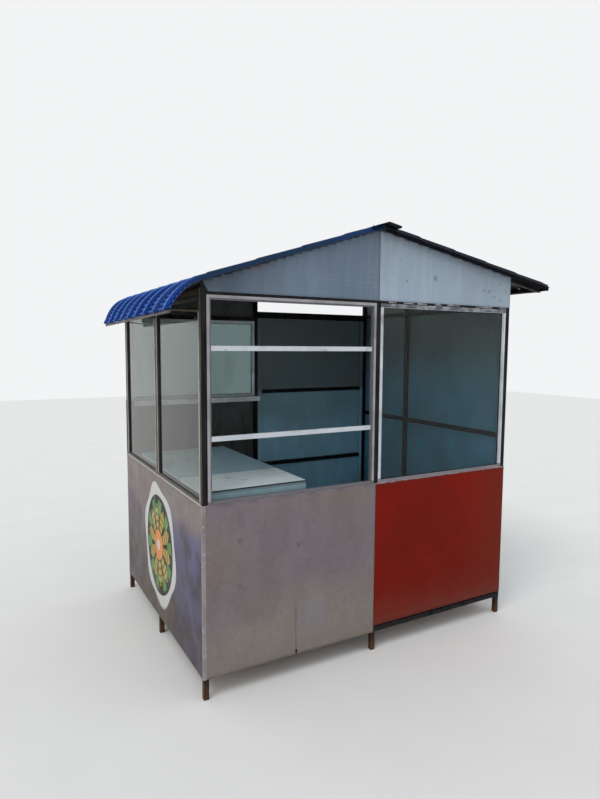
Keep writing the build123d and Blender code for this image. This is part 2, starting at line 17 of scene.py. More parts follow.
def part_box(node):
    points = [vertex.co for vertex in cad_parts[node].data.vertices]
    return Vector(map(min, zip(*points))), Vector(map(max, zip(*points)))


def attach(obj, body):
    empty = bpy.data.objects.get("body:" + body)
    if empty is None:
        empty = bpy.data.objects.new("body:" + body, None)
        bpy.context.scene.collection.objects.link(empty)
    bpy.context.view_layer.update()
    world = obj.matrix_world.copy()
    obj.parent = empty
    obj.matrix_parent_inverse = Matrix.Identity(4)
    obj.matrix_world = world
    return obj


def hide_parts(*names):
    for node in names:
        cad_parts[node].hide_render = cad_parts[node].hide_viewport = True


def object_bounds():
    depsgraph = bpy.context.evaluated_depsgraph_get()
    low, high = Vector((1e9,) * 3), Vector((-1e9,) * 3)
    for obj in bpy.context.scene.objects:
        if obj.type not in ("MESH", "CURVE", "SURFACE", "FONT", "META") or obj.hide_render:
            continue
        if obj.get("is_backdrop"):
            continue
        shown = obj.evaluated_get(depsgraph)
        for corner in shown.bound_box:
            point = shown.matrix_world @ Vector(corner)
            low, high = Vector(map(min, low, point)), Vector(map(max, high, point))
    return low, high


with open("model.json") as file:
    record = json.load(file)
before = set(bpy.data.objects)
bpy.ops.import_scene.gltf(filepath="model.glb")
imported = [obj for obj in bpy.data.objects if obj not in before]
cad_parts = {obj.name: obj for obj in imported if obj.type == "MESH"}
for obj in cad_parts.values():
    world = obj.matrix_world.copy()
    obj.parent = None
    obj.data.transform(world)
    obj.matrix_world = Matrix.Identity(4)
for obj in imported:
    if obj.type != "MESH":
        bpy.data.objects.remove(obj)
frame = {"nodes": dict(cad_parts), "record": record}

cad_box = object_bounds()
print("nodes:", len(frame["nodes"]), "box:", [tuple(round(v, 3) for v in c) for c in cad_box])

# %% [markdown]
# ## Camera
# A camera copies a photograph when its place, its turn and its lens all agree with it. The lens
# length follows from the focal length in pixels, because the sensor's 36 mm lie along the longer
# side of the picture. The turn is built from three plain rotations: yaw, then pitch, then roll.

# %% Camera
PICTURE_HEIGHT = 799
FOCAL_PIXELS = 580.0
SENSOR = 36.0
CAMERA_AT = Vector((-1.79, -3.015, 1.558))
YAW, PITCH, ROLL = radians(29.2), radians(5.22), radians(0.37)


def add_object(name, data):
    """Puts a camera, a lamp or a mesh in the scene."""
    made = bpy.data.objects.new(name, data)
    bpy.context.scene.collection.objects.link(made)
    return made


camera_data = bpy.data.cameras.new("camera")
camera_data.sensor_width = SENSOR
camera_data.lens = FOCAL_PIXELS * SENSOR / PICTURE_HEIGHT
camera = add_object("camera", camera_data)
tilt = Matrix.Rotation(pi / 2 - PITCH, 4, "X") @ Matrix.Rotation(ROLL, 4, "Z")
camera.matrix_world = Matrix.Translation(CAMERA_AT) @ Matrix.Rotation(-YAW, 4, "Z") @ tilt
bpy.context.scene.camera = camera
print("lens:", round(camera_data.lens, 2), "mm")

# %% [markdown]
# ## Places on the kiosk
# The walls are easiest to measure from the front left corner, as a fitter would with a tape.
# `spot` turns such a measure into a point of the frame, so every later size stays a real one.

# %% Places
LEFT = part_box("left_lower_panel")[0].x
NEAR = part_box("front_left_lower_panel")[0].y
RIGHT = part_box("right_wall_sheets")[1].x
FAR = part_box("door_sheet")[1].y
WIDTH, DEPTH = RIGHT - LEFT, FAR - NEAR
SHEET, TUBE, SEAM = 0.0015, 0.025, 0.002
EAVE_Z, APEX_X, APEX_Z = 1.824, 0.915, 2.123
RIDGE_X = LEFT + APEX_X
HEAD_Z = 1.772
FRAME_HEAD = HEAD_Z - 0.02
TO_RIGHT, TO_BACK, UP = Vector((1, 0, 0)), Vector((0, 1, 0)), Vector((0, 0, 1))


def spot(x, y, z):
    """A point measured from the front left corner of the walls at ground level."""
    return Vector((LEFT + x, NEAR + y, z))


print("walls:", round(WIDTH, 3), "by", round(DEPTH, 3))

# %% [markdown]
# ## Node helpers
# A procedural finish is a small tree of nodes. The tree at work lies on the bench, and a few
# helpers add to it. The first ones add a node and fill its inputs, do arithmetic, and measure
# where a point of the surface is.

# %% Nodes, numbers and places
bench = {}


def put(kind, inputs=None, **settings):
    """Adds a node. An input takes a number, a colour, a vector or another node's output."""
    made = bench["tree"].nodes.new(kind)
    for key, value in settings.items():
        setattr(made, key, value)
    for key, value in (inputs or {}).items():
        socket = made.inputs[key]
        if isinstance(value, bpy.types.NodeSocket):
            bench["tree"].links.new(value, socket)
        else:
            socket.default_value = (*value, 1.0) if socket.type == "RGBA" else value
    return made


def maths(operation, *values):
    return put("ShaderNodeMath", dict(enumerate(values)), operation=operation).outputs[0]


def times(*values):
    """The product of masks and numbers."""
    product = values[0]
    for value in values[1:]:
        product = maths("MULTIPLY", product, value)
    return product


def join(*values):
    """A vector from numbers along X, Y and Z."""
    return put("ShaderNodeCombineXYZ", dict(enumerate(values))).outputs[0]


def measure(operation, *vectors):
    """A number from vectors, such as a distance or a length."""
    inputs = dict(enumerate(vectors))
    return put("ShaderNodeVectorMath", inputs, operation=operation).outputs["Value"]


def here():
    """The point of the surface in the object's own coordinates, in metres."""
    return put("ShaderNodeTexCoord").outputs["Object"]


def place_of(axis):
    """How far along X, Y or Z a point of the surface lies."""
    return put("ShaderNodeSeparateXYZ", {0: here()}).outputs[axis]


# %% [markdown]
# ### Masks
# A mask is a number from 0 to 1 over the surface. It can be a soft step of any value, a cloud of
# noise, a fade along an axis or all that lies on one side of a plane.

# %% Masks
def ramp(value, low, high, start=0.0, end=1.0):
    """A soft step: start up to low, end from high on."""
    limits = {0: value, 1: low, 2: high, 3: start, 4: end}
    return put("ShaderNodeMapRange", limits, interpolation_type="SMOOTHSTEP").outputs[0]


def cloud(scale, detail=3.0, stretch=(1.0, 1.0, 1.0), seed=0.0, roughness=0.55):
    """Noise over the surface, stretched along any axis."""
    inputs = {"Vector": here(), "Location": (seed, seed * 1.7, seed * 2.3), "Scale": stretch}
    place = put("ShaderNodeMapping", inputs).outputs[0]
    inputs = {"Vector": place, "Scale": scale, "Detail": detail, "Roughness": roughness}
    return put("ShaderNodeTexNoise", inputs).outputs[0]


def patches(scale, detail, low, high, start=0.0, end=1.0, **shape):
    """Soft patches: a ramp over a cloud."""
    return ramp(cloud(scale, detail, **shape), low, high, start, end)


def dulled(scale, detail, smooth, rough):
    """A roughness that wanders between two values."""
    return patches(scale, detail, 0.25, 0.75, smooth, rough)


def fade(axis, low, high, start=0.0, end=1.0):
    """A soft step along X, Y or Z."""
    return ramp(place_of(axis), low, high, start, end)


def waver(axis, reach, scale, detail, seed=0.0):
    """A place along an axis that noise shifts, so that a step over it has a wavy edge."""
    shift = times(cloud(scale, detail, seed=seed), reach)
    return maths("ADD", place_of(axis), shift)


def below(axis, limit):
    return maths("LESS_THAN", place_of(axis), limit)


def beyond(axis, limit):
    return maths("GREATER_THAN", place_of(axis), limit)


# %% [markdown]
# ### Colours
# Paints are laid over each other one by one, and each shows only where its masks let it. A paint
# is three numbers or the output of another node.

# %% Colours
def mix(mask, first, second):
    """The first colour where the mask is 0 and the second where it is 1."""
    pair = {0: mask, 6: first, 7: second}
    return put("ShaderNodeMix", pair, data_type="RGBA").outputs[2]


def patchy(first, second, scale, detail, low, high, **shape):
    """Two colours in soft patches."""
    return mix(patches(scale, detail, low, high, **shape), first, second)


def coats(colour, *layers):
    """Lays paints over a colour. Each layer is a paint, then the masks and numbers it shows by."""
    for paint, *masks in layers:
        colour = mix(times(*masks), colour, paint)
    return colour


print("node helpers ready")

# %% [markdown]
# ## Shared effects
# Rain, splashes, rubbing and handling mark every surface of a kiosk in the same few ways. Each
# effect is one node group with named inputs. A group puts out only a mask or a height, and each
# finish decides what colour or roughness a mask brings.

# %% A group and its sockets
def start_group(name, inputs, output="Mask"):
    """Puts a node group with number inputs and one output on the bench. Returns its inputs."""
    tree = bpy.data.node_groups.new(name, "ShaderNodeTree")
    for socket, default in inputs.items():
        made = tree.interface.new_socket(name=socket, in_out="INPUT", socket_type="NodeSocketFloat")
        made.default_value = default
    tree.interface.new_socket(name=output, in_out="OUTPUT", socket_type="NodeSocketFloat")
    bench["tree"] = tree
    return put("NodeGroupInput").outputs


def end_group(value):
    """Leads a value out of a group."""
    put("NodeGroupOutput", {0: value})


def effect(name, **inputs):
    """Places a shared effect in a finish and gives back its output."""
    return put("ShaderNodeGroup", inputs, node_tree=bpy.data.node_groups[name]).outputs[0]


# %% [markdown]
# ### Rain runs
# Rain leaves upright marks: narrow across the wall and long down it. Noise gives them when its
# coordinates are squeezed across and stretched along Z.

# %% Rain runs
given = start_group("rain_runs", {"Width": 0.03, "Length": 0.6, "Seed": 0.0, "Share": 0.5})
across = maths("DIVIDE", 1.0, given["Width"])
scale = join(across, across, maths("DIVIDE", 1.0, given["Length"]))
shift = join(given["Seed"], given["Seed"], given["Seed"])
place = put("ShaderNodeMapping", {"Vector": here(), "Location": shift, "Scale": scale})
marks = {"Vector": place.outputs[0], "Scale": 1.0, "Detail": 4.0}
marks = put("ShaderNodeTexNoise", marks).outputs[0]
edge = maths("SUBTRACT", 0.95, given["Share"])
end_group(ramp(marks, maths("SUBTRACT", edge, 0.16), edge))


def rain(width, length, share, seed=0.0):
    """Rain runs of a width and length in metres, over a share of the surface."""
    return effect("rain_runs", Width=width, Length=length, Share=share, Seed=seed)


# %% [markdown]
# ### Splashed dirt
# Rain throws soil up from the ground, so dirt is thick at the foot and fades with height. Noise
# breaks the edge of the fade.

# %% Splashed dirt
given = start_group("splash", {"Top": 0.4})
reach = times(given["Top"], maths("ADD", cloud(14.0, 5.0), 0.35))
height = maths("DIVIDE", place_of("Z"), reach)
soft = maths("SUBTRACT", 1.0, ramp(height, 0.05, 1.0))
end_group(times(soft, patches(160.0, 2.0, 0.3, 0.62, seed=3.1)))

# %% [markdown]
# ### Rubbed edges
# Paint wears first where a surface turns. The Bevel node rounds the normal near an edge, so the
# more it differs from the true normal, the nearer the edge is. Noise makes the wear patchy.

# %% Rubbed edges
given = start_group("rubbed_edges", {"Radius": 0.003})
soft = put("ShaderNodeBevel", {"Radius": given["Radius"]}, samples=4).outputs[0]
true = put("ShaderNodeNewGeometry").outputs["Normal"]
near = ramp(measure("DOT_PRODUCT", soft, true), 0.99, 0.78)
end_group(times(near, patches(22.0, 6.0, 0.48, 0.66, roughness=0.7)))

# %% [markdown]
# ### Scratches and handling marks
# A scratch is a thin line where stretched noise passes one value. Two crossing sets, each broken
# up by a wider noise, look like years of boxes and elbows.

# %% Scratches
given = start_group("scratches", {"Density": 0.5})
sets = []
for number, stretch in enumerate([(60.0, 60.0, 3.0), (4.0, 4.0, 70.0)]):
    lines = cloud(1.0, 2.0, stretch=stretch, seed=5.0 * number)
    near = maths("ABSOLUTE", maths("SUBTRACT", lines, 0.5))
    broken = patches(5.0, 3.0, 0.5, 0.7, seed=9.0 + number)
    sets.append(times(ramp(near, 0.012, 0.0), broken))
end_group(times(maths("MAXIMUM", *sets), given["Density"]))

# %% [markdown]
# ### Hand-laid sheet
# Thin sheet fixed to a welded frame is never flat: it bulges softly between its fixings. The
# height from this group feeds a Bump node, so that highlights swim over the sheet.

# %% Hand-laid sheet
start_group("uneven_sheet", {}, "Height")
fine = times(cloud(9.0, 2.0, seed=7.0), 0.25)
end_group(maths("ADD", cloud(2.2, 1.0, seed=2.0), fine))
print("groups:", [group.name for group in bpy.data.node_groups])

# %% [markdown]
# ## Finishes
# Each finish starts from the Principled shader. What is the same all over, such as metal or not,
# is set on the shader itself, and only what changes over the surface comes in through nodes.

# %% Start a finish
finishes = {}


def start_finish(name, metallic=0.0, gloss=0.22, **sockets):
    """Puts the tree of a new material on the bench and sets plain values of its shader."""
    material = bpy.data.materials.new(name)
    material.use_nodes = True
    bench["tree"] = material.node_tree
    bench["shader"] = material.node_tree.nodes["Principled BSDF"]
    sockets |= {"Metallic": metallic, "Specular_IOR_Level": gloss}
    for socket, value in sockets.items():
        bench["shader"].inputs[socket.replace("_", " ")].default_value = value
    finishes[name] = material


def wire(colour=None, roughness=None, height=None, depth=0.001, strength=1.0):
    """Joins colour, roughness and a bump height, in metres of depth, to the shader."""
    normal = None
    if height is not None:
        inputs = {"Height": height, "Distance": depth, "Strength": strength}
        normal = put("ShaderNodeBump", inputs).outputs[0]
    for socket, value in (("Base Color", colour), ("Roughness", roughness), ("Normal", normal)):
        if value is not None:
            bench["tree"].links.new(value, bench["shader"].inputs[socket])


# %% [markdown]
# ### Black enamel
# The tubes were brushed with black enamel. It has dulled, it is rubbed to brown primer along the
# edges, it is browner on its faces to the left, and the feet carry splashed soil and some rust.

# %% Black enamel
start_finish("black_enamel", gloss=0.06)
worn = effect("rubbed_edges", Radius=0.003)
colour = coats(
    patchy((0.004, 0.005, 0.008), (0.01, 0.01, 0.012), 5.0, 5.0, 0.38, 0.68),
    ((0.1, 0.09, 0.08), rain(0.02, 0.25, 0.42), 0.12),
    ((0.085, 0.07, 0.05), below("X", LEFT + SHEET + 0.0002), 0.8),
    ((0.12, 0.09, 0.07), worn, 0.7),
    ((0.17, 0.068, 0.03), effect("splash", Top=0.13), 0.75))
brushed = maths("ADD", cloud(60.0, 2.0), times(worn, -0.8))
roughness = patches(30.0, 4.0, 0.2, 0.8, 0.34, 0.62)
wire(colour, roughness, brushed, 0.0004, 0.6)

# %% [markdown]
# ### Zinc-grey sheet
# The grey panels are bare galvanised sheet. Zinc freezes in flat crystals, which a Voronoi
# pattern draws, and years of rain leave brown and mauve runs on them. The two panels share the
# steps and differ in their tints.

# %% Steps of weathered zinc
def mark(x, z, radius):
    """A mask that is 1 on a round spot of the front, given from its left corner and the ground."""
    flat = join(place_of("X"), 0.0, place_of("Z"))
    away = measure("DISTANCE", flat, (LEFT + x, 0.0, z))
    return ramp(away, radius, radius * 0.35)


def start_zinc(name, cool, warm, beige):
    """Crystals, wide tints and soft rain runs: a colour and a height."""
    start_finish(name, metallic=0.3, gloss=0.15)
    wander = {"Vector": here(), "Scale": 60.0, "Detail": 3.0}
    wander = put("ShaderNodeTexNoise", wander).outputs["Color"]
    bent = {0: 0.02, 4: here(), 5: wander}
    bent = put("ShaderNodeMix", bent, data_type="VECTOR").outputs[1]
    cells = put("ShaderNodeTexVoronoi", {"Vector": bent, "Scale": 75.0}).outputs["Color"]
    crystal = put("ShaderNodeSeparateColor", {0: cells}).outputs[0]
    colour = coats(
        patchy(cool, warm, 1.9, 3.0, 0.38, 0.6, seed=1.0),
        (beige, ramp(waver("Z", 0.5, 3.0, 4.0, 6.0), 0.78, 0.42)),
        ((0.085, 0.075, 0.078), rain(0.11, 0.4, 0.44), 0.09),
        ((0.26, 0.245, 0.27), rain(0.08, 0.25, 0.42, 4.0), 0.15))
    tone = ramp(crystal, 0.0, 1.0, 0.95, 1.04)
    tone = put("ShaderNodeCombineColor", {0: tone, 1: tone, 2: tone}).outputs[0]
    shaded = {0: 1.0, 6: colour, 7: tone}
    colour = put("ShaderNodeMix", shaded, data_type="RGBA", blend_type="MULTIPLY").outputs[2]
    height = maths("ADD", effect("uneven_sheet"), times(crystal, 0.004))
    return colour, height


# %% [markdown]
# The front panel has a crease in its lower half, three small dents and some wide tinted marks;
# the crease and the three dents are darker, which is painted shade. The left one has a
# violet-blue painted reflection low down at the front corner and at its far edge, and is beige
# further back.

# %% Zinc-grey sheet
CREASE_X = LEFT + 0.469
# A mark is its paint, its place across and up the front, its radius and how strongly it shows.
# The first three marks are dark spots of painted shade at small dents; the last three are wide tints.
FRONT_MARKS = [
    ((0.075, 0.06, 0.062), 0.174, 0.697, 0.018, 0.35),
    ((0.075, 0.06, 0.062), 0.474, 0.629, 0.018, 0.35),
    ((0.075, 0.06, 0.062), 0.176, 0.485, 0.018, 0.35),
    ((0.225, 0.215, 0.26), 0.557, 0.271, 0.13, 0.34),
    ((0.148, 0.142, 0.154), 0.7, 0.6, 0.27, 0.26),
    ((0.185, 0.145, 0.132), 0.26, 0.47, 0.22, 0.35),
]
colour, height = start_zinc(
    "zinc_front", (0.197, 0.165, 0.18), (0.206, 0.167, 0.162), (0.25, 0.22, 0.192))
# A thin dark line along the crease, low down: painted shade.
off = maths("SUBTRACT", waver("X", 0.012, 14.0, 3.0, 5.0), CREASE_X)
crease = ramp(maths("ABSOLUTE", off), 0.005, 0.001)
colour = coats(
    colour,
    ((0.32, 0.3, 0.3), effect("scratches", Density=0.35)),
    ((0.19, 0.155, 0.115), effect("splash", Top=0.3), 0.7),
    ((0.07, 0.06, 0.062), crease, fade("Z", 0.36, 0.3), 0.45),
    *[(paint, mark(x, z, radius), share) for paint, x, z, radius, share in FRONT_MARKS])
wire(colour, dulled(12.0, 5.0, 0.42, 0.6), height, 0.01, 0.4)

colour, height = start_zinc(
    "zinc_left", (0.24, 0.212, 0.2), (0.23, 0.18, 0.165), (0.205, 0.172, 0.15))
corner = ramp(waver("Y", 0.45, 2.5, 4.0, 8.0), NEAR + 0.84, NEAR + 0.6)
low = ramp(waver("Z", 0.2, 5.0, 3.0), 0.86, 0.74)
clouds = patches(6.0, 4.0, 0.4, 0.6, seed=3.0)
# Painted reflection: violet-blue low down at the front corner.
painted_sheen = mix(clouds, (0.098, 0.094, 0.2), (0.05, 0.038, 0.074))
colour = coats(
    colour,
    ((0.1, 0.078, 0.062), fade("Z", 0.78, 0.42), 0.6),
    (painted_sheen, corner, low, 0.85),
    # A fainter violet at the far edge, also a painted reflection.
    ((0.11, 0.09, 0.15), fade("Y", NEAR + 0.95, NEAR + 1.15), low, clouds, 0.5),
    ((0.075, 0.058, 0.048), effect("splash", Top=0.8), 0.95))
wire(colour, dulled(10.0, 5.0, 0.36, 0.54), height, 0.012, 0.45)

# %% [markdown]
# ### Gable paint
# The two front gable sheets came from different stock. The left one is a darker blue-grey with
# pale upright runs, and it darkens towards its outer end, which is painted shade. The right one is
# paler, with dents near its outer end, darkened as painted shade. Rust has run from under the
# roof, and it shows where a point lies close under the slope.

# %% Gable paint
FALL = 0.327
GABLE_LOW = 1.784
# A dent is its place along and up the sheet, its depth, and its half width and half height.
GABLE_DENTS = [(0.358, 0.13, 0.002, 0.02, 0.02), (0.746, 0.081, 0.003, 0.013, 0.011),
               (0.788, 0.052, 0.003, 0.01, 0.01), (0.836, 0.036, 0.0028, 0.01, 0.009),
               (0.706, 0.085, 0.0022, 0.01, 0.009), (0.88, 0.084, 0.002, 0.008, 0.012)]


def gable_paint(name, dark, light, runs_share, runs_colour):
    start_finish(name, gloss=0.15)
    off = maths("ABSOLUTE", maths("SUBTRACT", place_of("X"), RIDGE_X))
    rise = maths("ADD", times(off, FALL), place_of("Z"))
    under_roof = ramp(maths("SUBTRACT", APEX_Z, rise), 0.035, 0.01)
    # Dark spots at the dents: painted shade.
    dents = [mark(APEX_X + SEAM / 2 + along, GABLE_LOW + up, wide)
             for along, up, depth, wide, tall in GABLE_DENTS]
    colour = coats(
        patchy(dark, light, 1.9, 3.0, 0.38, 0.6, stretch=(1.0, 1.0, 0.4), seed=3.0),
        (runs_colour, rain(0.16, 0.9, runs_share, 2.0), 0.5),
        ((0.09, 0.095, 0.1), rain(0.035, 0.4, 0.4, 7.0), 0.1),
        # Darker towards the outer end of the left sheet: painted shade.
        ((0.06, 0.085, 0.112), fade("X", LEFT + 0.42, LEFT + 0.1), 0.5),
        *[((0.07, 0.09, 0.12), dent, 0.45) for dent in dents],
        ((0.2, 0.085, 0.055), under_roof, patches(9.0, 4.0, 0.56, 0.7, seed=5.0),
         below("X", RIDGE_X - 0.01), 0.55),
        ((0.11, 0.075, 0.055), patches(46.0, 2.0, 0.69, 0.74, seed=11.0), 0.6),
        ((0.5, 0.52, 0.55), effect("scratches", Density=0.3)))
    sheet = effect("uneven_sheet")
    wire(colour, dulled(14.0, 5.0, 0.42, 0.62), sheet, 0.01, 0.4)


gable_paint("gable_left_paint",
            (0.095, 0.13, 0.178), (0.16, 0.205, 0.272), 0.5, (0.195, 0.255, 0.33))
gable_paint("gable_right_paint",
            (0.285, 0.35, 0.42), (0.345, 0.425, 0.515), 0.42, (0.375, 0.45, 0.525))

# %% [markdown]
# ### Red paint
# The red panel was painted by hand over steel. The coat has gone matt, browner towards the
# bottom and the right end, with level brush marks and a few chips down to grey.

# %% Red paint
start_finish("red_paint", gloss=0.06)
brushed = cloud(3.0, 4.0, stretch=(1.0, 1.0, 40.0), seed=4.0)
colour = coats(
    patchy((0.205, 0.0075, 0.0025), (0.158, 0.008, 0.0035), 1.6, 3.0, 0.38, 0.64),
    ((0.15, 0.022, 0.011), fade("X", RIGHT - 0.35, RIGHT), 0.6),
    ((0.145, 0.028, 0.019), ramp(waver("Z", 0.25, 6.0, 5.0), 0.48, 0.22), 0.7),
    ((0.24, 0.03, 0.02), ramp(brushed, 0.5, 0.75), 0.14),
    ((0.1, 0.08, 0.075), patches(26.0, 6.0, 0.7, 0.73, seed=12.0, roughness=0.7)),
    ((0.15, 0.075, 0.055), effect("splash", Top=0.3), 0.5))
uneven = maths("ADD", effect("uneven_sheet"), times(brushed, 0.02))
wire(colour, dulled(16.0, 5.0, 0.4, 0.62), uneven, 0.01, 0.4)

# %% [markdown]
# ### Painted sheets
# Inside, the sheets are dark blue-green high up, which is painted shade. The door's sheet and the
# right wall turn bluer and paler towards the floor, which is painted light. The panel under the
# back window is nearly black, also painted shade, and the outer faces at the back and the right
# are an even blue-grey, so one function takes the tints.

# %% Painted sheets
def sheet_paint(name, high, low, turn_height, blend=0.03, foot=None):
    """Two tints that meet at a height, and perhaps a third one that comes in low down."""
    start_finish(name)
    colour = mix(fade("Z", turn_height - blend, turn_height + blend), low, high)
    if foot:
        colour = mix(fade("Z", 1.15, 0.8), colour, foot)
    faded = mix(0.35, colour, (0.12, 0.12, 0.12))
    colour = coats(
        colour,
        (faded, patches(2.4, 5.0, 0.38, 0.66), 0.6),
        ((0.19, 0.22, 0.23), rain(0.06, 0.22, 0.42, 5.0), 0.16),
        ((0.22, 0.24, 0.24), effect("scratches", Density=0.4)),
        ((0.15, 0.1, 0.07), effect("splash", Top=0.3), 0.8))
    sheet = effect("uneven_sheet")
    wire(colour, dulled(18.0, 5.0, 0.36, 0.58), sheet, 0.008, 0.35)


# The dark green-grey above and the pale blue towards the floor are painted shade and painted light.
sheet_paint("wall_paint", (0.135, 0.185, 0.18), (0.13, 0.37, 0.56), 1.42, 0.24,
            foot=(0.11, 0.42, 0.68))
sheet_paint("door_paint", (0.14, 0.19, 0.205), (0.255, 0.45, 0.56), 1.24, foot=(0.34, 0.66, 0.88))
# Nearly black: painted shade on the inner faces at the back.
sheet_paint("back_inner_painted_shade", (0.042, 0.046, 0.043), (0.034, 0.04, 0.04), 0.7)
sheet_paint("outer_paint", (0.205, 0.29, 0.335), (0.185, 0.265, 0.31), 1.1, 0.6)
sheet_paint("apron_paint", (0.3, 0.46, 0.52), (0.2, 0.32, 0.37), 0.8)

# %% [markdown]
# ### Roof coating
# The roof sheet has a glossy blue coating baked on at the mill. Dust dulls it in streaks that
# run down the slope, and its underside is painted near black as shade. The folds of the awning
# are painted by an attribute of the mesh, which says how high a point lies in its fold: painted
# highlights on the folds and on the crests of the ribs, and painted shade in the valleys. The
# right sheet takes a darker copy of the blue as painted shade, and so does the rib along the front.

# %% Roof coating
PAINTED_FOLD_HIGHLIGHT, PAINTED_FOLD_SHADE = (0.055, 0.165, 0.52), (0.002, 0.012, 0.085)


def roof_coating(name, blue, faded, edge):
    """Edge is the darker colour of the rib along the front, which is painted shade."""
    start_finish(name, gloss=0.07)
    fold, crest = [put("ShaderNodeAttribute", attribute_name=word).outputs["Fac"]
                   for word in ("fold", "crest")]
    bluer = fade("X", RIDGE_X - 0.45, RIDGE_X - 0.15, 0.0, 0.25)
    rib = mix(times(bluer, below("X", RIDGE_X)), edge, blue)
    dust = patches(2.0, 6.0, 0.48, 0.74, stretch=(1.0, 9.0, 1.0), seed=5.0)
    colour = coats(
        patchy(blue, faded, 3.0, 4.0, 0.35, 0.7),
        # Painted shade in the valleys of the folds, then painted highlights on the fold lines and the rib
        # crests.
        (PAINTED_FOLD_SHADE, ramp(fold, 0.7, 0.3), ramp(fold, -0.5, -0.4), 0.75),
        (PAINTED_FOLD_HIGHLIGHT, ramp(fold, 0.66, 0.94), 0.9),
        ((0.2, 0.42, 0.8), ramp(crest, 0.9, 1.0), 0.7),
        ((0.16, 0.21, 0.32), dust, 0.12),
        ((0.16, 0.2, 0.27), patches(90.0, 3.0, 0.66, 0.74, seed=2.0), 0.25),
        # The rib along the front takes the darker edge colour: painted shade.
        (rib, fade("Y", NEAR - 0.016, NEAR - 0.022),
         fade("X", LEFT - 0.14, LEFT + 0.03)))
    wire(colour, dulled(20.0, 5.0, 0.38, 0.56), cloud(26.0, 2.0), 0.0006, 0.5)


roof_coating("roof_blue", (0.004, 0.04, 0.235), (0.006, 0.05, 0.275), (0.01, 0.03, 0.072))
# The right sheet: the same blue roof, painted darker as shade.
roof_coating("roof_blue_painted_shade", (0.003, 0.026, 0.15), (0.005, 0.038, 0.2), (0.004, 0.007, 0.018))
roof_coating("cap_blue", (0.006, 0.011, 0.042), (0.009, 0.016, 0.06), (0.005, 0.009, 0.03))

# The underside of the sheets is near black: painted shade.
start_finish("roof_underside_painted_shade", gloss=0.1)
colour = patchy((0.034, 0.033, 0.034), (0.018, 0.018, 0.019), 4.0, 5.0, 0.35, 0.7)
wire(colour, dulled(20.0, 4.0, 0.45, 0.6))

# %% [markdown]
# ### Aluminium
# The window frames are plain aluminium, drawn through a die, so fine lines run along them. White
# oxide blooms in patches, and dirt lies in the corners. The stiles at the front right are bright
# under a grimy head, and the serving bay has white-bloomed bars in a dull frame.

# %% Aluminium
def drawn_metal(name, light, dark, metallic, gloss=0.22):
    """Starts blotched metal with white oxide, grime and drawn lines. Returns its colour."""
    start_finish(name, metallic=metallic, gloss=gloss)
    lines = cloud(1.0, 2.0, stretch=(380.0, 380.0, 8.0), seed=1.0)
    wire(None, dulled(30.0, 4.0, 0.34, 0.54), lines, 0.0002, 0.35)
    return coats(
        patchy(light, dark, 7.0, 6.0, 0.38, 0.66),
        ((0.7, 0.71, 0.73), patches(48.0, 5.0, 0.56, 0.68, seed=6.0), 0.35),
        ((0.17, 0.16, 0.15), patches(11.0, 6.0, 0.58, 0.7, seed=9.0), 0.5))


colour = drawn_metal("aluminium", (0.62, 0.65, 0.69), (0.46, 0.49, 0.52), 0.45)
head = fade("Z", FRAME_HEAD - 0.001, FRAME_HEAD + 0.003)
colour = coats(
    colour,
    ((0.095, 0.095, 0.115), head, patches(24.0, 5.0, 0.44, 0.64, 0.94, 0.5)),
    ((0.2, 0.175, 0.195), fade("Z", 0.8985, 0.896), 0.85))
wire(colour)

# %% Serving bay
FRAME_BAR = 0.0205
colour = drawn_metal("serving_aluminium", (0.6, 0.64, 0.68), (0.5, 0.53, 0.57), 0.35)
low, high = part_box("serving_frame_front_left")
inside = times(beyond("X", low.x + FRAME_BAR), below("X", high.x - FRAME_BAR),
               below("Z", high.z - FRAME_BAR))
dull = coats(
    patchy((0.35, 0.34, 0.355), (0.24, 0.23, 0.245), 9.0, 5.0, 0.38, 0.64, seed=4.0),
    ((0.06, 0.06, 0.066), fade("Y", low.y + 0.0008, low.y + 0.002), 0.8))
colour = coats(
    colour,
    (dull, maths("SUBTRACT", 1.0, inside), 0.92),
    ((0.165, 0.15, 0.165), fade("Z", low.z + 0.016, low.z + 0.013), 0.92))
wire(colour)

# %% [markdown]
# The frames on the left are pale only on their outer face and brown with dirt on their sides, and
# their head under the awning is left dark as painted shade. The sill strips are dull under the open
# bay, pale with red paint over their edge on the right, and brown on the left.

# %% Left windows, sill strips and corner trim
pale = drawn_metal("left_frame_paint", (0.4, 0.385, 0.34), (0.28, 0.265, 0.235), 0.2, 0.15)
dark = patchy((0.032, 0.031, 0.029), (0.075, 0.068, 0.06), 9.0, 5.0, 0.38, 0.64, seed=2.0)
colour = coats(
    dark,
    # Pale only below the head: the dark head under the awning is painted shade.
    (pale, fade("X", LEFT + 0.005, LEFT + 0.003),
     fade("Z", FRAME_HEAD, FRAME_HEAD - 0.004)),
    ((0.13, 0.12, 0.105), fade("Z", 0.892, 0.889), 0.6))
wire(colour)

pale = drawn_metal("sill_metal", (0.3, 0.27, 0.29), (0.21, 0.19, 0.205), 0.3, 0.15)
dull = patchy((0.2, 0.175, 0.19), (0.155, 0.135, 0.15), 8.0, 5.0, 0.38, 0.64, seed=3.0)
right = beyond("X", RIDGE_X)
ragged = ramp(waver("Z", 0.014, 34.0, 5.0, 7.0), 0.88, 0.8775)
brown = mix(fade("Z", 0.868, 0.873), (0.17, 0.15, 0.14), (0.5, 0.46, 0.43))
colour = coats(
    dull,
    (pale, right),
    ((0.165, 0.01, 0.006), right, ragged),
    (brown, below("X", LEFT + 0.03), beyond("Y", NEAR + 0.002)))
wire(colour)

colour = drawn_metal("trim_metal", (0.32, 0.29, 0.29), (0.24, 0.21, 0.205), 0.3, 0.15)
wire(colour)

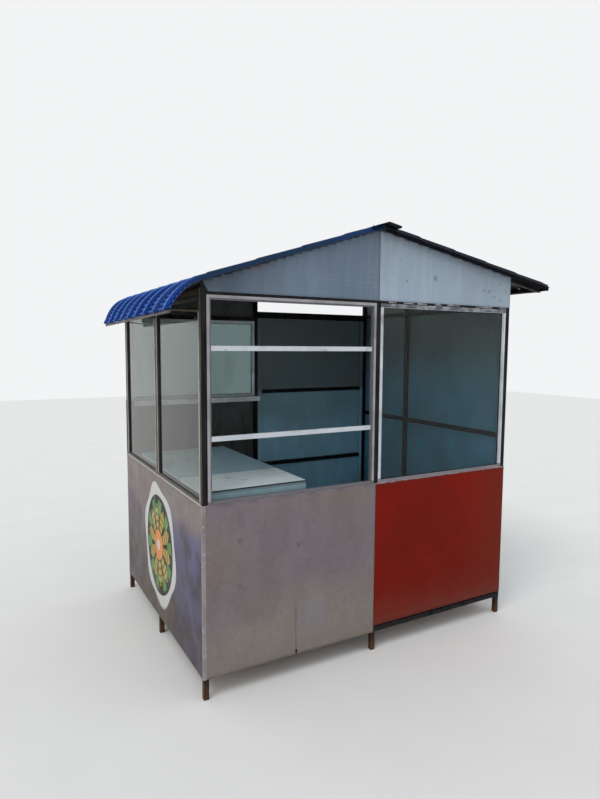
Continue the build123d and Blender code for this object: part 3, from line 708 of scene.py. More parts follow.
# %% [markdown]
# ### Glass
# Window glass is clear with a green cast. Dust and wiping marks change only its roughness and
# tint, while its metal and transmission values stay plain. The back pane's dark tint is painted
# shade, for the shade seen through it.

# %% Glass
def window_glass(name, clear, filmed):
    start_finish(name, gloss=0.4, Transmission_Weight=1.0, IOR=1.22)
    colour = patchy(clear, filmed, 3.0, 6.0, 0.45, 0.75, stretch=(1.0, 1.0, 0.6))
    shape = {"stretch": (1.0, 1.0, 0.35), "seed": 3.0}
    wire(colour, patches(6.0, 5.0, 0.52, 0.8, 0.015, 0.1, **shape))


window_glass("front_glass", (0.8, 0.89, 0.88), (0.68, 0.75, 0.73))
window_glass("left_glass", (0.66, 0.68, 0.63), (0.56, 0.54, 0.47))
# The back pane is tinted dark: painted shade.
window_glass("back_glass_painted_shade", (0.135, 0.195, 0.19), (0.105, 0.135, 0.13))

# %% [markdown]
# ### Boards
# The floor is worn plywood, with its grain along X. The worktop is painted blue-grey, and its near
# part is paler, which is painted sunlight; its front edge is dark along the top.

# %% Boards
start_finish("plywood")
grain = cloud(6.0, 8.0, stretch=(1.0, 14.0, 14.0), roughness=0.65)
colour = coats(
    mix(ramp(grain, 0.36, 0.66), (0.33, 0.215, 0.12), (0.2, 0.125, 0.07)),
    ((0.24, 0.2, 0.165), patches(2.4, 5.0, 0.45, 0.7, seed=2.0), 0.6))
wire(colour, ramp(grain, 0.3, 0.7, 0.55, 0.75), grain, 0.0008, 0.6)

start_finish("worktop_paint")
# The near part of the worktop is paler: painted sunlight from the open bay.
painted_sunlight = fade("Y", NEAR + 0.378, NEAR + 0.374)
fresh = mix(painted_sunlight, (0.44, 0.63, 0.77), (0.8, 0.9, 0.94))
dull = mix(painted_sunlight, (0.36, 0.52, 0.64), (0.7, 0.8, 0.85))
edge = fade("Y", NEAR + 0.0632, NEAR + 0.0624)
colour = coats(
    patchy(fresh, dull, 3.0, 5.0, 0.36, 0.68),
    ((0.18, 0.19, 0.19), effect("scratches", Density=0.7)),
    ((0.23, 0.19, 0.15), patches(9.0, 4.0, 0.62, 0.72, seed=7.0), 0.4),
    ((0.27, 0.2, 0.13), effect("rubbed_edges", Radius=0.004)),
    ((0.17, 0.245, 0.265), edge),
    ((0.03, 0.04, 0.045), edge, fade("Z", 0.911, 0.913)))
wire(colour, dulled(20.0, 4.0, 0.36, 0.56), cloud(55.0, 3.0), 0.0004, 0.4)

# %% [markdown]
# ### Small metal and rubber
# Hinges are bare steel, welds are dark beads and seals are rubber. Each takes a few nodes: two
# tints in patches, a roughness and a fine bump.

# %% Small metal and rubber
def small_metal(name, base, stain, metallic, smooth, rough, scale, gloss=0.22):
    start_finish(name, metallic=metallic, gloss=gloss)
    colour = patchy(base, stain, scale, 5.0, 0.4, 0.66)
    roughness = dulled(scale * 2, 4.0, smooth, rough)
    wire(colour, roughness, cloud(scale * 4, 3.0), 0.0003, 0.5)


for values in [
        ("hinge_steel", (0.3, 0.28, 0.26), (0.16, 0.085, 0.045), 0.8, 0.32, 0.55, 60.0),
        ("weld_bead", (0.04, 0.038, 0.038), (0.095, 0.055, 0.035), 0.4, 0.4, 0.7, 120.0),
        ("cut_edge", (0.03, 0.04, 0.07), (0.06, 0.06, 0.07), 0.3, 0.4, 0.6, 40.0),
        ("bar_paint", (0.003, 0.003, 0.006), (0.007, 0.007, 0.01), 0.0, 0.5, 0.7, 20.0, 0.03),
        ("screw_paint", (0.02, 0.06, 0.19), (0.05, 0.06, 0.09), 0.2, 0.35, 0.55, 90.0),
        ("sealant", (0.3, 0.31, 0.33), (0.1, 0.1, 0.11), 0.0, 0.5, 0.7, 30.0),
        ("lip_bar_paint", (0.15, 0.13, 0.122), (0.062, 0.054, 0.05), 0.1, 0.45, 0.65, 18.0),
        ("rubber", (0.018, 0.018, 0.019), (0.035, 0.034, 0.033), 0.0, 0.55, 0.75, 70.0)]:
    small_metal(*values)
print("finishes:", len(finishes))

# %% [markdown]
# ## Dress the metal parts
# A part of the frame that already has the right shape only needs its finish. Its slot in the
# record says what it is made of; the panels that differ from their neighbours are named.

# %% Dress the metal parts
BY_SLOT = {
    "frame_black": "black_enamel", "deck": "plywood", "sheet_grey": "zinc_front",
    "sheet_red": "red_paint", "sheet_inner": "wall_paint", "sheet_pale": "gable_right_paint",
    "glass": "front_glass", "worktop": "worktop_paint",
}
BY_NAME = {
    "left_lower_panel": "zinc_left", "front_gable_left": "gable_left_paint",
    "door_sheet": "door_paint", "back_left_lower_panel": "back_inner_painted_shade",
    "worktop_apron": "apron_paint", "serving_frame_front_left": "serving_aluminium",
    "window_frame_left_near": "left_frame_paint", "window_frame_left_far": "left_frame_paint",
    "sill_strips": "sill_metal", "corner_trim": "trim_metal", "glass_left_near": "left_glass",
    "glass_left_far": "left_glass", "glass_back_left": "back_glass_painted_shade",
    "right_edge_bars": "bar_paint",
}
slot_of = {part["node"]: part["material_slot"] for part in frame["record"]["subparts"]}


def finish_of(node):
    """The finish of a node: its own, its slot's, or the one that has the slot's name."""
    return BY_NAME.get(node) or BY_SLOT.get(slot_of[node], slot_of[node])


for node, part in frame["nodes"].items():
    part.data.materials.clear()
    part.data.materials.append(finishes[finish_of(node)])
print("dressed:", len(frame["nodes"]))

# %% [markdown]
# ## Floor, sky and lamps
# A plain pale floor and an even sky show the colours as they are. The sky that lights the kiosk
# is softer than the one the camera and the glass see, which Light Path tells apart. One wide sun
# from the upper left gives the shapes their shade.

# %% Floor
FLOOR_SIZE = 30.0

start_finish("pale_floor", Roughness=0.9)
wire(mix(cloud(3.0, 6.0), (0.74, 0.735, 0.72), (0.8, 0.795, 0.78)))
mesh = bmesh.new()
bmesh.ops.create_grid(mesh, x_segments=1, y_segments=1, size=FLOOR_SIZE / 2)
floor_data = bpy.data.meshes.new("floor")
mesh.to_mesh(floor_data)
mesh.free()
floor_data.materials.append(finishes["pale_floor"])
add_object("floor", floor_data)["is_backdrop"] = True

# %% Sky and sun
SKY_LIGHT, SKY_SHOWN = 0.85, 0.93
SUN_POWER, SUN_SPREAD = 0.8, radians(25)
SUN_FROM = Vector((-0.62, -0.3, 1.0))

world = bpy.data.worlds.new("studio")
bpy.context.scene.world = world
world.use_nodes = True
bench["tree"] = world.node_tree
bench["tree"].nodes.clear()
rays = put("ShaderNodeLightPath").outputs
seen = maths("MAXIMUM", rays["Is Camera Ray"], rays["Is Glossy Ray"])
seen = maths("MAXIMUM", seen, rays["Is Transmission Ray"])
light, shown = [
    put("ShaderNodeBackground", {"Color": colour, "Strength": strength}).outputs[0]
    for colour, strength in [((0.95, 0.97, 1.0), SKY_LIGHT), ((0.96, 0.97, 0.98), SKY_SHOWN)]]
chosen = put("ShaderNodeMixShader", {0: seen, 1: light, 2: shown}).outputs[0]
put("ShaderNodeOutputWorld", {"Surface": chosen})

sun_data = bpy.data.lights.new("sun", "SUN")
sun_data.energy = SUN_POWER
sun_data.angle = SUN_SPREAD
sun = add_object("sun", sun_data)
sun.rotation_euler = SUN_FROM.to_track_quat("Z", "Y").to_euler()
bpy.context.scene.view_settings.view_transform = "Standard"
print("stage set")

# %% [markdown]
# ## Making a piece
# Every new piece is a bmesh that becomes an object at the origin. It rides on a body of the frame,
# it takes one or more finishes, and it may stand for nodes of the frame.

# %% Making a piece
def new_piece(name, mesh, paints, body="kiosk", nodes=(), smooth=False):
    """Turns a bmesh into a piece with one or more finishes."""
    data = bpy.data.meshes.new(name)
    mesh.to_mesh(data)
    mesh.free()
    for paint in paints:
        data.materials.append(finishes[paint])
    if smooth:
        data.shade_smooth()
    piece = add_object(name, data)
    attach(piece, body)
    if nodes:
        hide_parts(*nodes)
    print(name, len(data.polygons), "faces")
    return piece


def body_of(node):
    bodies = frame["record"]["behaviour"]["bodies"]
    return next(body for body, nodes in bodies.items() if node in nodes)


# %% [markdown]
# Sheet is drawn as a single skin. Its faces have to look outward, because the Solidify modifier
# then gives it its gauge behind them, with a finish of its own for the back and for the rim.

# %% Helpers for meshes
def face_outward(mesh, outward):
    """Turns all faces over when most of them look the other way."""
    mesh.normal_update()
    if sum(face.normal.dot(outward) for face in mesh.faces) < 0:
        bmesh.ops.reverse_faces(mesh, faces=mesh.faces)


def give_gauge(piece, gauge, back=0, rim=0):
    """A wall behind a skin. Back and rim count on from the skin's own finish."""
    wall = piece.modifiers.new("gauge", "SOLIDIFY")
    wall.thickness = gauge
    wall.offset = -1.0
    wall.material_offset = back
    wall.material_offset_rim = rim


def cut(mesh, point, normal, **settings):
    """Cuts a mesh along a plane."""
    whole = mesh.verts[:] + mesh.edges[:] + mesh.faces[:]
    bmesh.ops.bisect_plane(mesh, geom=whole, plane_co=point, plane_no=normal, **settings)


def sweep(mesh, line, steps):
    """Extrudes a line of points by one step after another, with a row of faces for each."""
    points = [mesh.verts.new(point) for point in line]
    edges = [mesh.edges.new(pair) for pair in zip(points, points[1:])]
    for step in steps:
        made = bmesh.ops.extrude_edge_only(mesh, edges=edges)["geom"]
        points = [item for item in made if isinstance(item, bmesh.types.BMVert)]
        edges = [item for item in made if isinstance(item, bmesh.types.BMEdge)
                 and all(vertex in points for vertex in item.verts)]
        bmesh.ops.translate(mesh, vec=step, verts=points)


# %% [markdown]
# ## Roof sheets
# The roof is tile-profile sheet: flat pans between high ribs, pressed with a small step every
# quarter of a metre so that it looks like rows of tiles. On the left the same sheet is crimped
# across its pans and rolled down into an awning. A sheet like this could be a grid with a bump
# map, but the steps show along its cut edge, so they have to be real. So the outline of the
# ribs is drawn flat, extruded row by row, and each point is then laid on the roof by a formula.

# %% Roof sizes
RIGHT_EAVE_Z = 1.954
LEFT_SLOPE = atan2(APEX_Z - EAVE_Z, APEX_X)
RIGHT_SLOPE = atan2(APEX_Z - RIGHT_EAVE_Z, WIDTH - APEX_X)
RIDGE_GAP = 0.004
ROOF_OVERHANG = 0.05
ROOF_RIGHT = WIDTH + 0.27
ROOF_SHEET, ROOF_GAUGE = 0.0015, 0.0012
RIB_PITCH, RIB_FIRST = 0.18, 0.03
RIB_BASE, RIB_SHOULDER, RIB_HEIGHT, RIB_CROWN = 0.046, 0.022, 0.022, 0.004
RIB_FOOT, PAN_POINTS = (0.002, 0.0015), (0.38, 0.5, 0.62)
PAN_TOP = RIB_HEIGHT * 0.6
AWNING_RADIUS, AWNING_TURN = 0.236, radians(47)
TILE_PITCH, TILE_STEP, TILE_START, TILE_FADE, TILE_DROP = 0.235, 0.0034, 0.085, 0.03, 0.06
CRIMP_PITCH, CRIMP_HEIGHT, CRIMP_LOSS = 0.0242, 0.0036, 0.95
CRIMP_START, CRIMP_END = 0.02, 0.006
SAG, SAG_START, SAG_REACH = Vector((0.04, 0.0, -0.014)), 0.05, 0.2
ROW, CRIMP_ROW = 0.012, CRIMP_PITCH / 6
LEFT_RUN = APEX_X / cos(LEFT_SLOPE)
AWNING_RUN = AWNING_RADIUS * AWNING_TURN
RIGHT_RUN = (ROOF_RIGHT - APEX_X) / cos(RIGHT_SLOPE)
rib_count = int((DEPTH + 2 * ROOF_OVERHANG - RIB_FIRST - RIB_BASE / 2) // RIB_PITCH) + 1
rib_places = [RIB_FIRST - ROOF_OVERHANG + RIB_PITCH * number for number in range(rib_count)]
print("slopes:", [round(slope * 180 / pi, 1) for slope in (LEFT_SLOPE, RIGHT_SLOPE)],
      "ribs:", rib_count)


# %% Outline of the ribs
def rib_outline():
    """Places and heights of the sheet's top across the roof, front to back."""
    half = [(-RIB_BASE / 2, 0.0), (-RIB_BASE / 2 + RIB_FOOT[0], RIB_FOOT[1]),
            (-RIB_SHOULDER / 2, RIB_HEIGHT - RIB_CROWN),
            (-RIB_SHOULDER / 4, RIB_HEIGHT - RIB_CROWN / 4)]
    rib = half + [(0.0, RIB_HEIGHT)] + [(-place, height) for place, height in half[::-1]]
    outline = [(-ROOF_OVERHANG, 0.0)]
    for centre in rib_places:
        outline += [(centre + place, height) for place, height in rib]
        if centre < rib_places[-1]:
            outline += [(centre + RIB_PITCH * share, 0.0) for share in PAN_POINTS]
    return outline + [(DEPTH + ROOF_OVERHANG, 0.0)]


def even_rows(start, end, step):
    """Places from start to end, about one step apart."""
    count = max(1, round((end - start) / step))
    return [start + (end - start) * number / count for number in range(count + 1)]


# %% Steps, crimps and the sag
def share_of(value, start, length):
    """How far a value is from start towards start + length, from 0 to 1."""
    return min(1.0, max(0.0, (value - start) / length))


def tile_lift(run, last):
    """A saw-tooth: the sheet rises along each row of tiles, then drops to the next."""
    share = (run / TILE_PITCH) % 1.0
    lift = min(share, (1.0 - share) / TILE_DROP)
    ends = share_of(run, TILE_START, TILE_FADE) * share_of(last - run, 0.0, TILE_FADE)
    return TILE_STEP * lift * ends


def fold_share(bend):
    """How high a point lies in a fold: 0 in a valley, 1 on the fold's line, -1 off the awning."""
    return 1.0 - abs(2.0 * ((bend / CRIMP_PITCH) % 1.0) - 1.0) if bend > 0.0 else -1.0


def crimp_lift(bend, height):
    """Pressed folds across the pans of the awning, much lower on the ribs."""
    ends = min(share_of(bend, 0.0, CRIMP_START), share_of(AWNING_RUN - bend, 0.0, CRIMP_END))
    on_rib = 1.0 - CRIMP_LOSS * min(1.0, height / PAN_TOP)
    return CRIMP_HEIGHT * fold_share(bend) * ends * on_rib


def droop(point):
    """The awning sags towards its far end: its lip hangs lower and nearer to the wall."""
    out = share_of(LEFT + SAG_START - point.x, 0.0, SAG_REACH)
    back = share_of(point.y, NEAR, DEPTH)
    return point + SAG * out * out * back


# %% Laying a sheet on the roof
def fall(angle, side):
    """The ways down a slope and out of it, on the left (-1) or on the right (1)."""
    return Vector((side * cos(angle), 0, -sin(angle))), Vector((side * sin(angle), 0, cos(angle)))


LEFT_DOWN, LEFT_OUT = fall(LEFT_SLOPE, -1)
RIGHT_DOWN, RIGHT_OUT = fall(RIGHT_SLOPE, 1)


def on_awning(bend, place, height):
    """A point so far round the awning's axis, at a height over its arc."""
    out = fall(LEFT_SLOPE + bend / AWNING_RADIUS, -1)[1]
    axis = spot(0, place, EAVE_Z) - LEFT_OUT * AWNING_RADIUS
    return axis + out * (AWNING_RADIUS + height)


def lay_left(flat):
    """From the flat sheet to the left slope, and past the eave round the awning's axis."""
    run, place, height = flat
    bend = run - LEFT_RUN
    if bend > 0:
        return droop(on_awning(bend, place, height + ROOF_SHEET + crimp_lift(bend, height)))
    lift = height + ROOF_SHEET + tile_lift(run, LEFT_RUN)
    return spot(APEX_X, place, APEX_Z) + LEFT_DOWN * run + LEFT_OUT * lift


def lay_right(flat):
    run, place, height = flat
    lift = height + ROOF_SHEET + tile_lift(run, RIGHT_RUN)
    return spot(APEX_X, place, APEX_Z) + RIGHT_DOWN * run + RIGHT_OUT * lift


def roof_sheet(name, rows, lay, coat):
    """Lays a flat ribbed sheet. Its attributes keep how high a point is on its rib and fold."""
    mesh = bmesh.new()
    line = [(rows[0], place, height) for place, height in rib_outline()]
    sweep(mesh, line, [(after - before, 0, 0) for before, after in zip(rows, rows[1:])])
    crest = mesh.verts.layers.float.new("crest")
    fold = mesh.verts.layers.float.new("fold")
    for vertex in mesh.verts:
        vertex[crest] = vertex.co.z / RIB_HEIGHT
        folded = lay is lay_left and vertex.co.z < PAN_TOP
        vertex[fold] = fold_share(vertex.co.x - LEFT_RUN) if folded else -1.0
        vertex.co = lay(vertex.co)
    bmesh.ops.recalc_face_normals(mesh, faces=mesh.faces)
    face_outward(mesh, UP)
    # The back of the sheet is near black: painted shade.
    finish = [coat, "roof_underside_painted_shade", "cut_edge"]
    piece = new_piece(name + "_ribbed", mesh, finish, nodes=[name])
    give_gauge(piece, ROOF_GAUGE, back=1, rim=2)


slope_rows = even_rows(RIDGE_GAP, LEFT_RUN, ROW)
bend_rows = even_rows(LEFT_RUN, LEFT_RUN + AWNING_RUN, CRIMP_ROW)
roof_sheet("roof_sheet_left", slope_rows + bend_rows[1:], lay_left, "roof_blue")
# The right sheet takes the darker copy of the blue, which is painted shade.
roof_sheet("roof_sheet_right", even_rows(RIDGE_GAP, RIGHT_RUN, ROW), lay_right, "roof_blue_painted_shade")

# %% [markdown]
# ## Ridge cap
# A strip of dark blue sheet is bent over the ridge, and its long edges are folded under so that
# they don't cut. A few points of its section, extruded along the ridge, give the whole cap. Its
# peak is then bevelled, because a bent sheet has no sharp line, and a Solidify gives it a wall.

# %% Ridge cap
CAP_WING, CAP_OVERHANG, CAP_SHEET, CAP_HEM = 0.078, 0.022, 0.0012, 0.009
CAP_CLEAR, CAP_TURN, CAP_PEAK = 0.0003, 0.002, 0.004
CAP_ROWS = 24


def cap_section(height):
    """Left hem, left edge, peak, right edge and right hem at one height over the slopes."""
    spread = height / sin(LEFT_SLOPE + RIGHT_SLOPE)
    peak_x = APEX_X + spread * (cos(LEFT_SLOPE) - cos(RIGHT_SLOPE))
    peak_z = APEX_Z + spread * (sin(LEFT_SLOPE) + sin(RIGHT_SLOPE))
    left = (peak_x - CAP_WING * cos(LEFT_SLOPE), peak_z - CAP_WING * sin(LEFT_SLOPE))
    right = (peak_x + CAP_WING * cos(RIGHT_SLOPE), peak_z - CAP_WING * sin(RIGHT_SLOPE))
    left_hem = (left[0] + CAP_TURN, left[1] - CAP_HEM)
    right_hem = (right[0] - CAP_TURN, right[1] - CAP_HEM)
    return [left_hem, left, (peak_x, peak_z), right, right_hem]


def bevel(mesh, edges, radius, segments, **settings):
    bmesh.ops.bevel(mesh, geom=edges, offset=radius, segments=segments, profile=0.5, material=-1,
                    affect="EDGES", **settings)


mesh = bmesh.new()
start = -ROOF_OVERHANG - CAP_OVERHANG
section = cap_section(RIB_HEIGHT + ROOF_SHEET + CAP_CLEAR + CAP_SHEET)
sweep(mesh, [spot(x, start, z) for x, z in section],
      [(0, (DEPTH - 2 * start) / CAP_ROWS, 0)] * CAP_ROWS)
bends = [edge for edge in mesh.edges if len(edge.link_faces) == 2 and edge.calc_face_angle() > 0.2]
bevel(mesh, bends, CAP_PEAK, 4)
bmesh.ops.recalc_face_normals(mesh, faces=mesh.faces)
face_outward(mesh, UP)
# The cap's underside takes the same near black: painted shade.
cap = new_piece("ridge_cap_bent", mesh, ["cap_blue", "roof_underside_painted_shade", "cut_edge"],
                nodes=["ridge_cap"], smooth=True)
give_gauge(cap, CAP_SHEET, back=1, rim=2)

# %% [markdown]
# ## Awning brackets
# The flat bars under the awning follow its curve, so they take the same sag as the sheet. A copy
# of the frame's own bars is merged, and every point is moved by the function that moved the sheet.

# %% Awning brackets
def merged_copy(node):
    """A closed copy of a node: the frame's loose triangles merged, and flat faces made whole."""
    mesh = bmesh.new()
    mesh.from_mesh(frame["nodes"][node].data)
    bmesh.ops.remove_doubles(mesh, verts=mesh.verts, dist=0.00002)
    bmesh.ops.dissolve_limit(mesh, angle_limit=radians(1), verts=mesh.verts, edges=mesh.edges)
    return mesh


mesh = merged_copy("awning_brackets")
for vertex in mesh.verts:
    vertex.co = droop(vertex.co)
new_piece("awning_brackets_bent", mesh, ["black_enamel"], nodes=["awning_brackets"])

# %% [markdown]
# ## Rounded tubes
# Square tube is rolled, so its corners are round, and each long edge catches a line of light. The
# frame's tubes have sharp corners. A copy of each is merged and only its long outer edges are
# bevelled, because inner corners are welds and short edges are the ends of tubes.

# %% Rounded tubes
TUBE_CORNER, TUBE_EDGE = 0.0025, 0.05
FRAME_CORNER, FRAME_EDGE = 0.0008, 0.02
TUBE_NODES = ["front_posts", "back_posts", "side_posts", "base_rails", "sill_rails", "head_rails",
              "right_wall_rails", "floor_joists", "rafters_front", "rafters_back", "ridge_beam",
              "purlins_left", "purlins_right", "worktop_frame", "door_frame"]
FRAME_NODES = ["serving_frame_front_left", "window_frame_front_right", "window_frame_left_near",
               "window_frame_left_far", "window_frame_back_left", "worktop", "floor_deck"]


def soften(node, radius, shortest):
    """A copy of a node with its long outer edges rounded."""
    mesh = merged_copy(node)
    shared = {vertex for edge in mesh.edges if len(edge.link_faces) != 2 for vertex in edge.verts}
    sharp = []
    for edge in mesh.edges:
        free = edge.is_convex and not shared.intersection(edge.verts)
        if free and edge.calc_length() > shortest and edge.calc_face_angle() > radians(60):
            sharp.append(edge)
    bevel(mesh, sharp, radius, 2, clamp_overlap=True)
    return new_piece(node + "_rounded", mesh, [finish_of(node)],
                     body=body_of(node), nodes=[node])


for node in TUBE_NODES:
    soften(node, TUBE_CORNER, TUBE_EDGE)
for node in FRAME_NODES:
    soften(node, FRAME_CORNER, FRAME_EDGE)

# %% [markdown]
# ### Paint on the door's frame
# The leaf's outer tubes were painted together with its sheet, and its two rails stayed black. One
# face can run from a tube into a rail, so the mesh is cut along the tubes before its faces get
# the one or the other finish.

# %% Paint on the door's frame
low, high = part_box("door_frame")
leaf = bpy.data.objects["door_frame_rounded"].data
leaf.materials.append(finishes["door_paint"])
mesh = bmesh.new()
mesh.from_mesh(leaf)
bmesh.ops.triangulate(mesh, faces=mesh.faces)
for way, places in [(TO_RIGHT, (low.x + TUBE, high.x - TUBE)),
                    (UP, (low.z + TUBE, high.z - TUBE))]:
    for place in places:
        cut(mesh, way * place, way)
inner = TUBE + 0.0001
for face in mesh.faces:
    middle = face.calc_center_median()
    on_rail = (low.x + inner < middle.x < high.x - inner
               and low.z + inner < middle.z < high.z - inner)
    face.material_index = 0 if on_rail else 1
mesh.to_mesh(leaf)
mesh.free()
print("painted faces:", sum(face.material_index for face in leaf.polygons))

# %% [markdown]
# ## Sheet panels
# The panels are thin steel, cut with shears and fixed at the edges, so they dish inwards between
# the tubes and have dents where goods hit them. A bump map can't bend a reflection far enough to
# show that. So each panel is a fine grid, pressed in by smooth noise away from its tubes, with
# its dents named by place, depth and size. Solidify then gives the sheet its gauge, and where a
# wall has a second paint inside, the modifier's material offset gives it to the back.

# %% A pressed panel
PANEL_GAUGE, PANEL_CELL, DISH_EDGE = 0.0012, 0.014, 0.12
INWARD = {"-x": (1, 0, 0), "+x": (-1, 0, 0), "-y": (0, 1, 0), "+y": (0, -1, 0)}
panels = {}


def pressed(free, across, up, hollow, dents, seed):
    """How far a point is pressed in: a dish and noise away from the tubes, and the dents."""
    field = share_of(free, 0.0, DISH_EDGE)
    field = field * field * (3.0 - 2.0 * field)
    wave = 0.5 + 0.5 * noise.noise(Vector((across * 3.1, up * 2.3, seed)))
    press = hollow * field * (0.35 + wave)
    for place, height, depth, wide, tall in dents:
        away = ((across - place) / wide) ** 2 + ((up - height) / tall) ** 2
        press += depth * max(0.0, 1.0 - away) ** 2
    return press


def panel(name, node, facing, coat, lining=None, hollow=0.003, dents=(), seed=1.0, cuts=(),
          posts=(), rails=(), joint=None):
    """The sheet of a wall that faces -X, +X, -Y or +Y, pressed between its tubes and trimmed along
    planes. Posts, rails and the joint between two sheets are given by their place or height."""
    low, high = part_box(node)
    inward = Vector(INWARD[facing])
    side = "yx"[facing[1] == "y"]
    first, last = getattr(low, side), getattr(high, side)
    base = high.copy() if facing[0] == "+" else low.copy()

    def surface(along, height):
        """The outer surface at a place along the wall and a height."""
        place = base.copy()
        setattr(place, side, along)
        place.z = height
        gaps = [along - first - TUBE, last - along - TUBE]
        gaps += [height - low.z - TUBE, high.z - height - TUBE]
        gaps += [abs(along - post) - TUBE / 2 for post in posts]
        gaps += [abs(height - rail) - TUBE / 2 for rail in rails]
        gaps += [(point - place).dot(normal.normalized()) - TUBE for point, normal in cuts]
        press = pressed(min(gaps), along - first, height - low.z, hollow, dents, seed)
        return place + inward * press

    panels[name] = {"surface": surface, "outward": -inward, "ends": (first, last), "coat": coat,
                    "node": node, "heights": (low.z, high.z), "posts": posts, "rails": rails}
    seams = [first, last] if joint is None else [first, joint - SEAM / 2, joint + SEAM / 2, last]
    mesh = bmesh.new()
    for start, end in zip(seams[::2], seams[1::2]):
        cells = [max(2, round(length / PANEL_CELL)) for length in (end - start, high.z - low.z)]
        made = bmesh.ops.create_grid(mesh, x_segments=cells[0], y_segments=cells[1], size=0.5)
        for vertex in made["verts"]:
            along = start + (vertex.co.x + 0.5) * (end - start)
            vertex.co = surface(along, low.z + (vertex.co.y + 0.5) * (high.z - low.z))
    for point, normal in cuts:
        cut(mesh, point, normal, clear_outer=True)
    face_outward(mesh, -inward)
    paints = [coat, lining] if lining else [coat]
    piece = new_piece(name, mesh, paints, body=body_of(node), nodes=[node],
                      smooth=True)
    give_gauge(piece, PANEL_GAUGE, back=len(paints) - 1)


# %% Lower panels
LEFT_MIDDLE, RIGHT_MIDDLE = 0.706, 0.875
panel("panel_front_left", "front_left_lower_panel", "-y", "zinc_front", hollow=0.004, seed=1.0,
      dents=[(0.463, 0.12, 0.0045, 0.018, 0.2), (0.3, 0.12, 0.0025, 0.09, 0.14),
             (0.6, 0.28, 0.0025, 0.12, 0.1), (0.71, 0.52, 0.002, 0.07, 0.05),
             (0.18, 0.46, 0.002, 0.06, 0.1)])
panel("panel_front_right", "front_right_lower_panel", "-y", "red_paint", hollow=0.0035, seed=5.0,
      dents=[(0.22, 0.3, 0.003, 0.09, 0.07), (0.66, 0.15, 0.002, 0.06, 0.05)])
panel("panel_left", "left_lower_panel", "-x", "zinc_left", hollow=0.005, seed=9.0,
      posts=[NEAR + LEFT_MIDDLE],
      dents=[(0.2, 0.2, 0.004, 0.1, 0.12), (1.1, 0.5, 0.003, 0.12, 0.1)])
panel("panel_back_left", "back_left_lower_panel", "+y", "outer_paint", "back_inner_painted_shade",
      hollow=0.004, seed=13.0, dents=[(0.35, 0.62, 0.003, 0.08, 0.1)])

# %% Gable sheets
GABLE_HEEL, GABLE_TOE = 0.011, 0.034


def gable_cuts(foot):
    """Planes that trim a gable: both roof slopes and the slanted outer end."""
    peak = spot(APEX_X, 0, APEX_Z)
    end = Vector((GABLE_HEEL - GABLE_TOE, 0, EAVE_Z - foot))
    return [(peak, LEFT_OUT), (peak, RIGHT_OUT),
            (spot(GABLE_TOE, 0, foot), Vector((-end.z, 0, end.x)))]


front_cuts = gable_cuts(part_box("front_gable_left")[0].z)
back_cuts = gable_cuts(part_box("back_gable_left")[0].z)
panel("gable_front_left", "front_gable_left", "-y", "gable_left_paint", seed=17.0,
      cuts=front_cuts, dents=[(0.6, 0.16, 0.002, 0.04, 0.03)])
panel("gable_front_right", "front_gable_right", "-y", "gable_right_paint", seed=21.0,
      cuts=front_cuts[:2], dents=GABLE_DENTS)
panel("gable_back_left", "back_gable_left", "+y", "outer_paint", "back_inner_painted_shade", seed=25.0,
      cuts=back_cuts)

# %% Right wall and door
WALL_RAILS = [1.0525, 1.7845]
DOOR_RAILS = [0.7205, 1.2405]
panel("panels_right", "right_wall_sheets", "+x", "outer_paint", "wall_paint", hollow=0.005,
      seed=29.0, joint=NEAR + RIGHT_MIDDLE, posts=[NEAR + RIGHT_MIDDLE], rails=WALL_RAILS,
      dents=[(0.4, 0.35, 0.004, 0.1, 0.12), (1.15, 1.3, 0.003, 0.12, 0.1)])
panel("panel_door", "door_sheet", "+y", "outer_paint", "door_paint", seed=33.0, rails=DOOR_RAILS,
      dents=[(0.3, 0.25, 0.003, 0.07, 0.09)])

# %% [markdown]
# ## Sticker on the left panel
# The left panel carries a large printed sticker. This one has its own free design in the same
# colours: a flower with ten petals and ten leaves on a dark oval with a white rim. The print is
# worked out by nodes from the angle and the distance to its middle. The mesh is a grid whose
# square is pushed out into an oval, then laid on the pressed surface of the panel, just over it.

# %% Print of the sticker
STICKER_MIDDLE = (NEAR + 0.695, 0.495)
STICKER_HALF = (0.285, 0.325)
PETALS, RINGS = 10.0, 52.0

start_finish("sticker_print", gloss=0.25)
across, up = [
    maths("DIVIDE", maths("SUBTRACT", place_of(axis), middle), half)
    for axis, middle, half in zip("YZ", STICKER_MIDDLE, STICKER_HALF)]
point = join(across, up)
reach = measure("LENGTH", point)
lobes = maths("SINE", times(maths("ARCTAN2", up, across), PETALS))
petals = ramp(maths("SUBTRACT", reach, times(lobes, 0.1)), 0.6, 0.57)
rings = ramp(maths("SINE", times(reach, RINGS)), 0.2, 0.7, 1.0, 0.35)
field, heart, eye = [ramp(reach, size + 0.012, size - 0.012) for size in (0.83, 0.25, 0.09)]
colour = coats(
    mix(field, (0.58, 0.58, 0.56), (0.014, 0.012, 0.007)),
    ((0.46, 0.33, 0.06), petals, ramp(lobes, -0.75, -0.45), rings),
    ((0.1, 0.25, 0.06), ramp(lobes, -0.1, -0.35), ramp(reach, 0.5, 0.53),
     ramp(reach, 0.78, 0.75)),
    ((0.72, 0.25, 0.07), heart),
    ((0.6, 0.58, 0.5), eye),
    ((0.2, 0.17, 0.14), effect("splash", Top=0.55), 0.22))
wire(colour, patches(12.0, 4.0, 0.3, 0.7, 0.35, 0.6))

# %% Shape of the sticker
STICKER_LIFT, STICKER_GAUGE = 0.0005, 0.0002

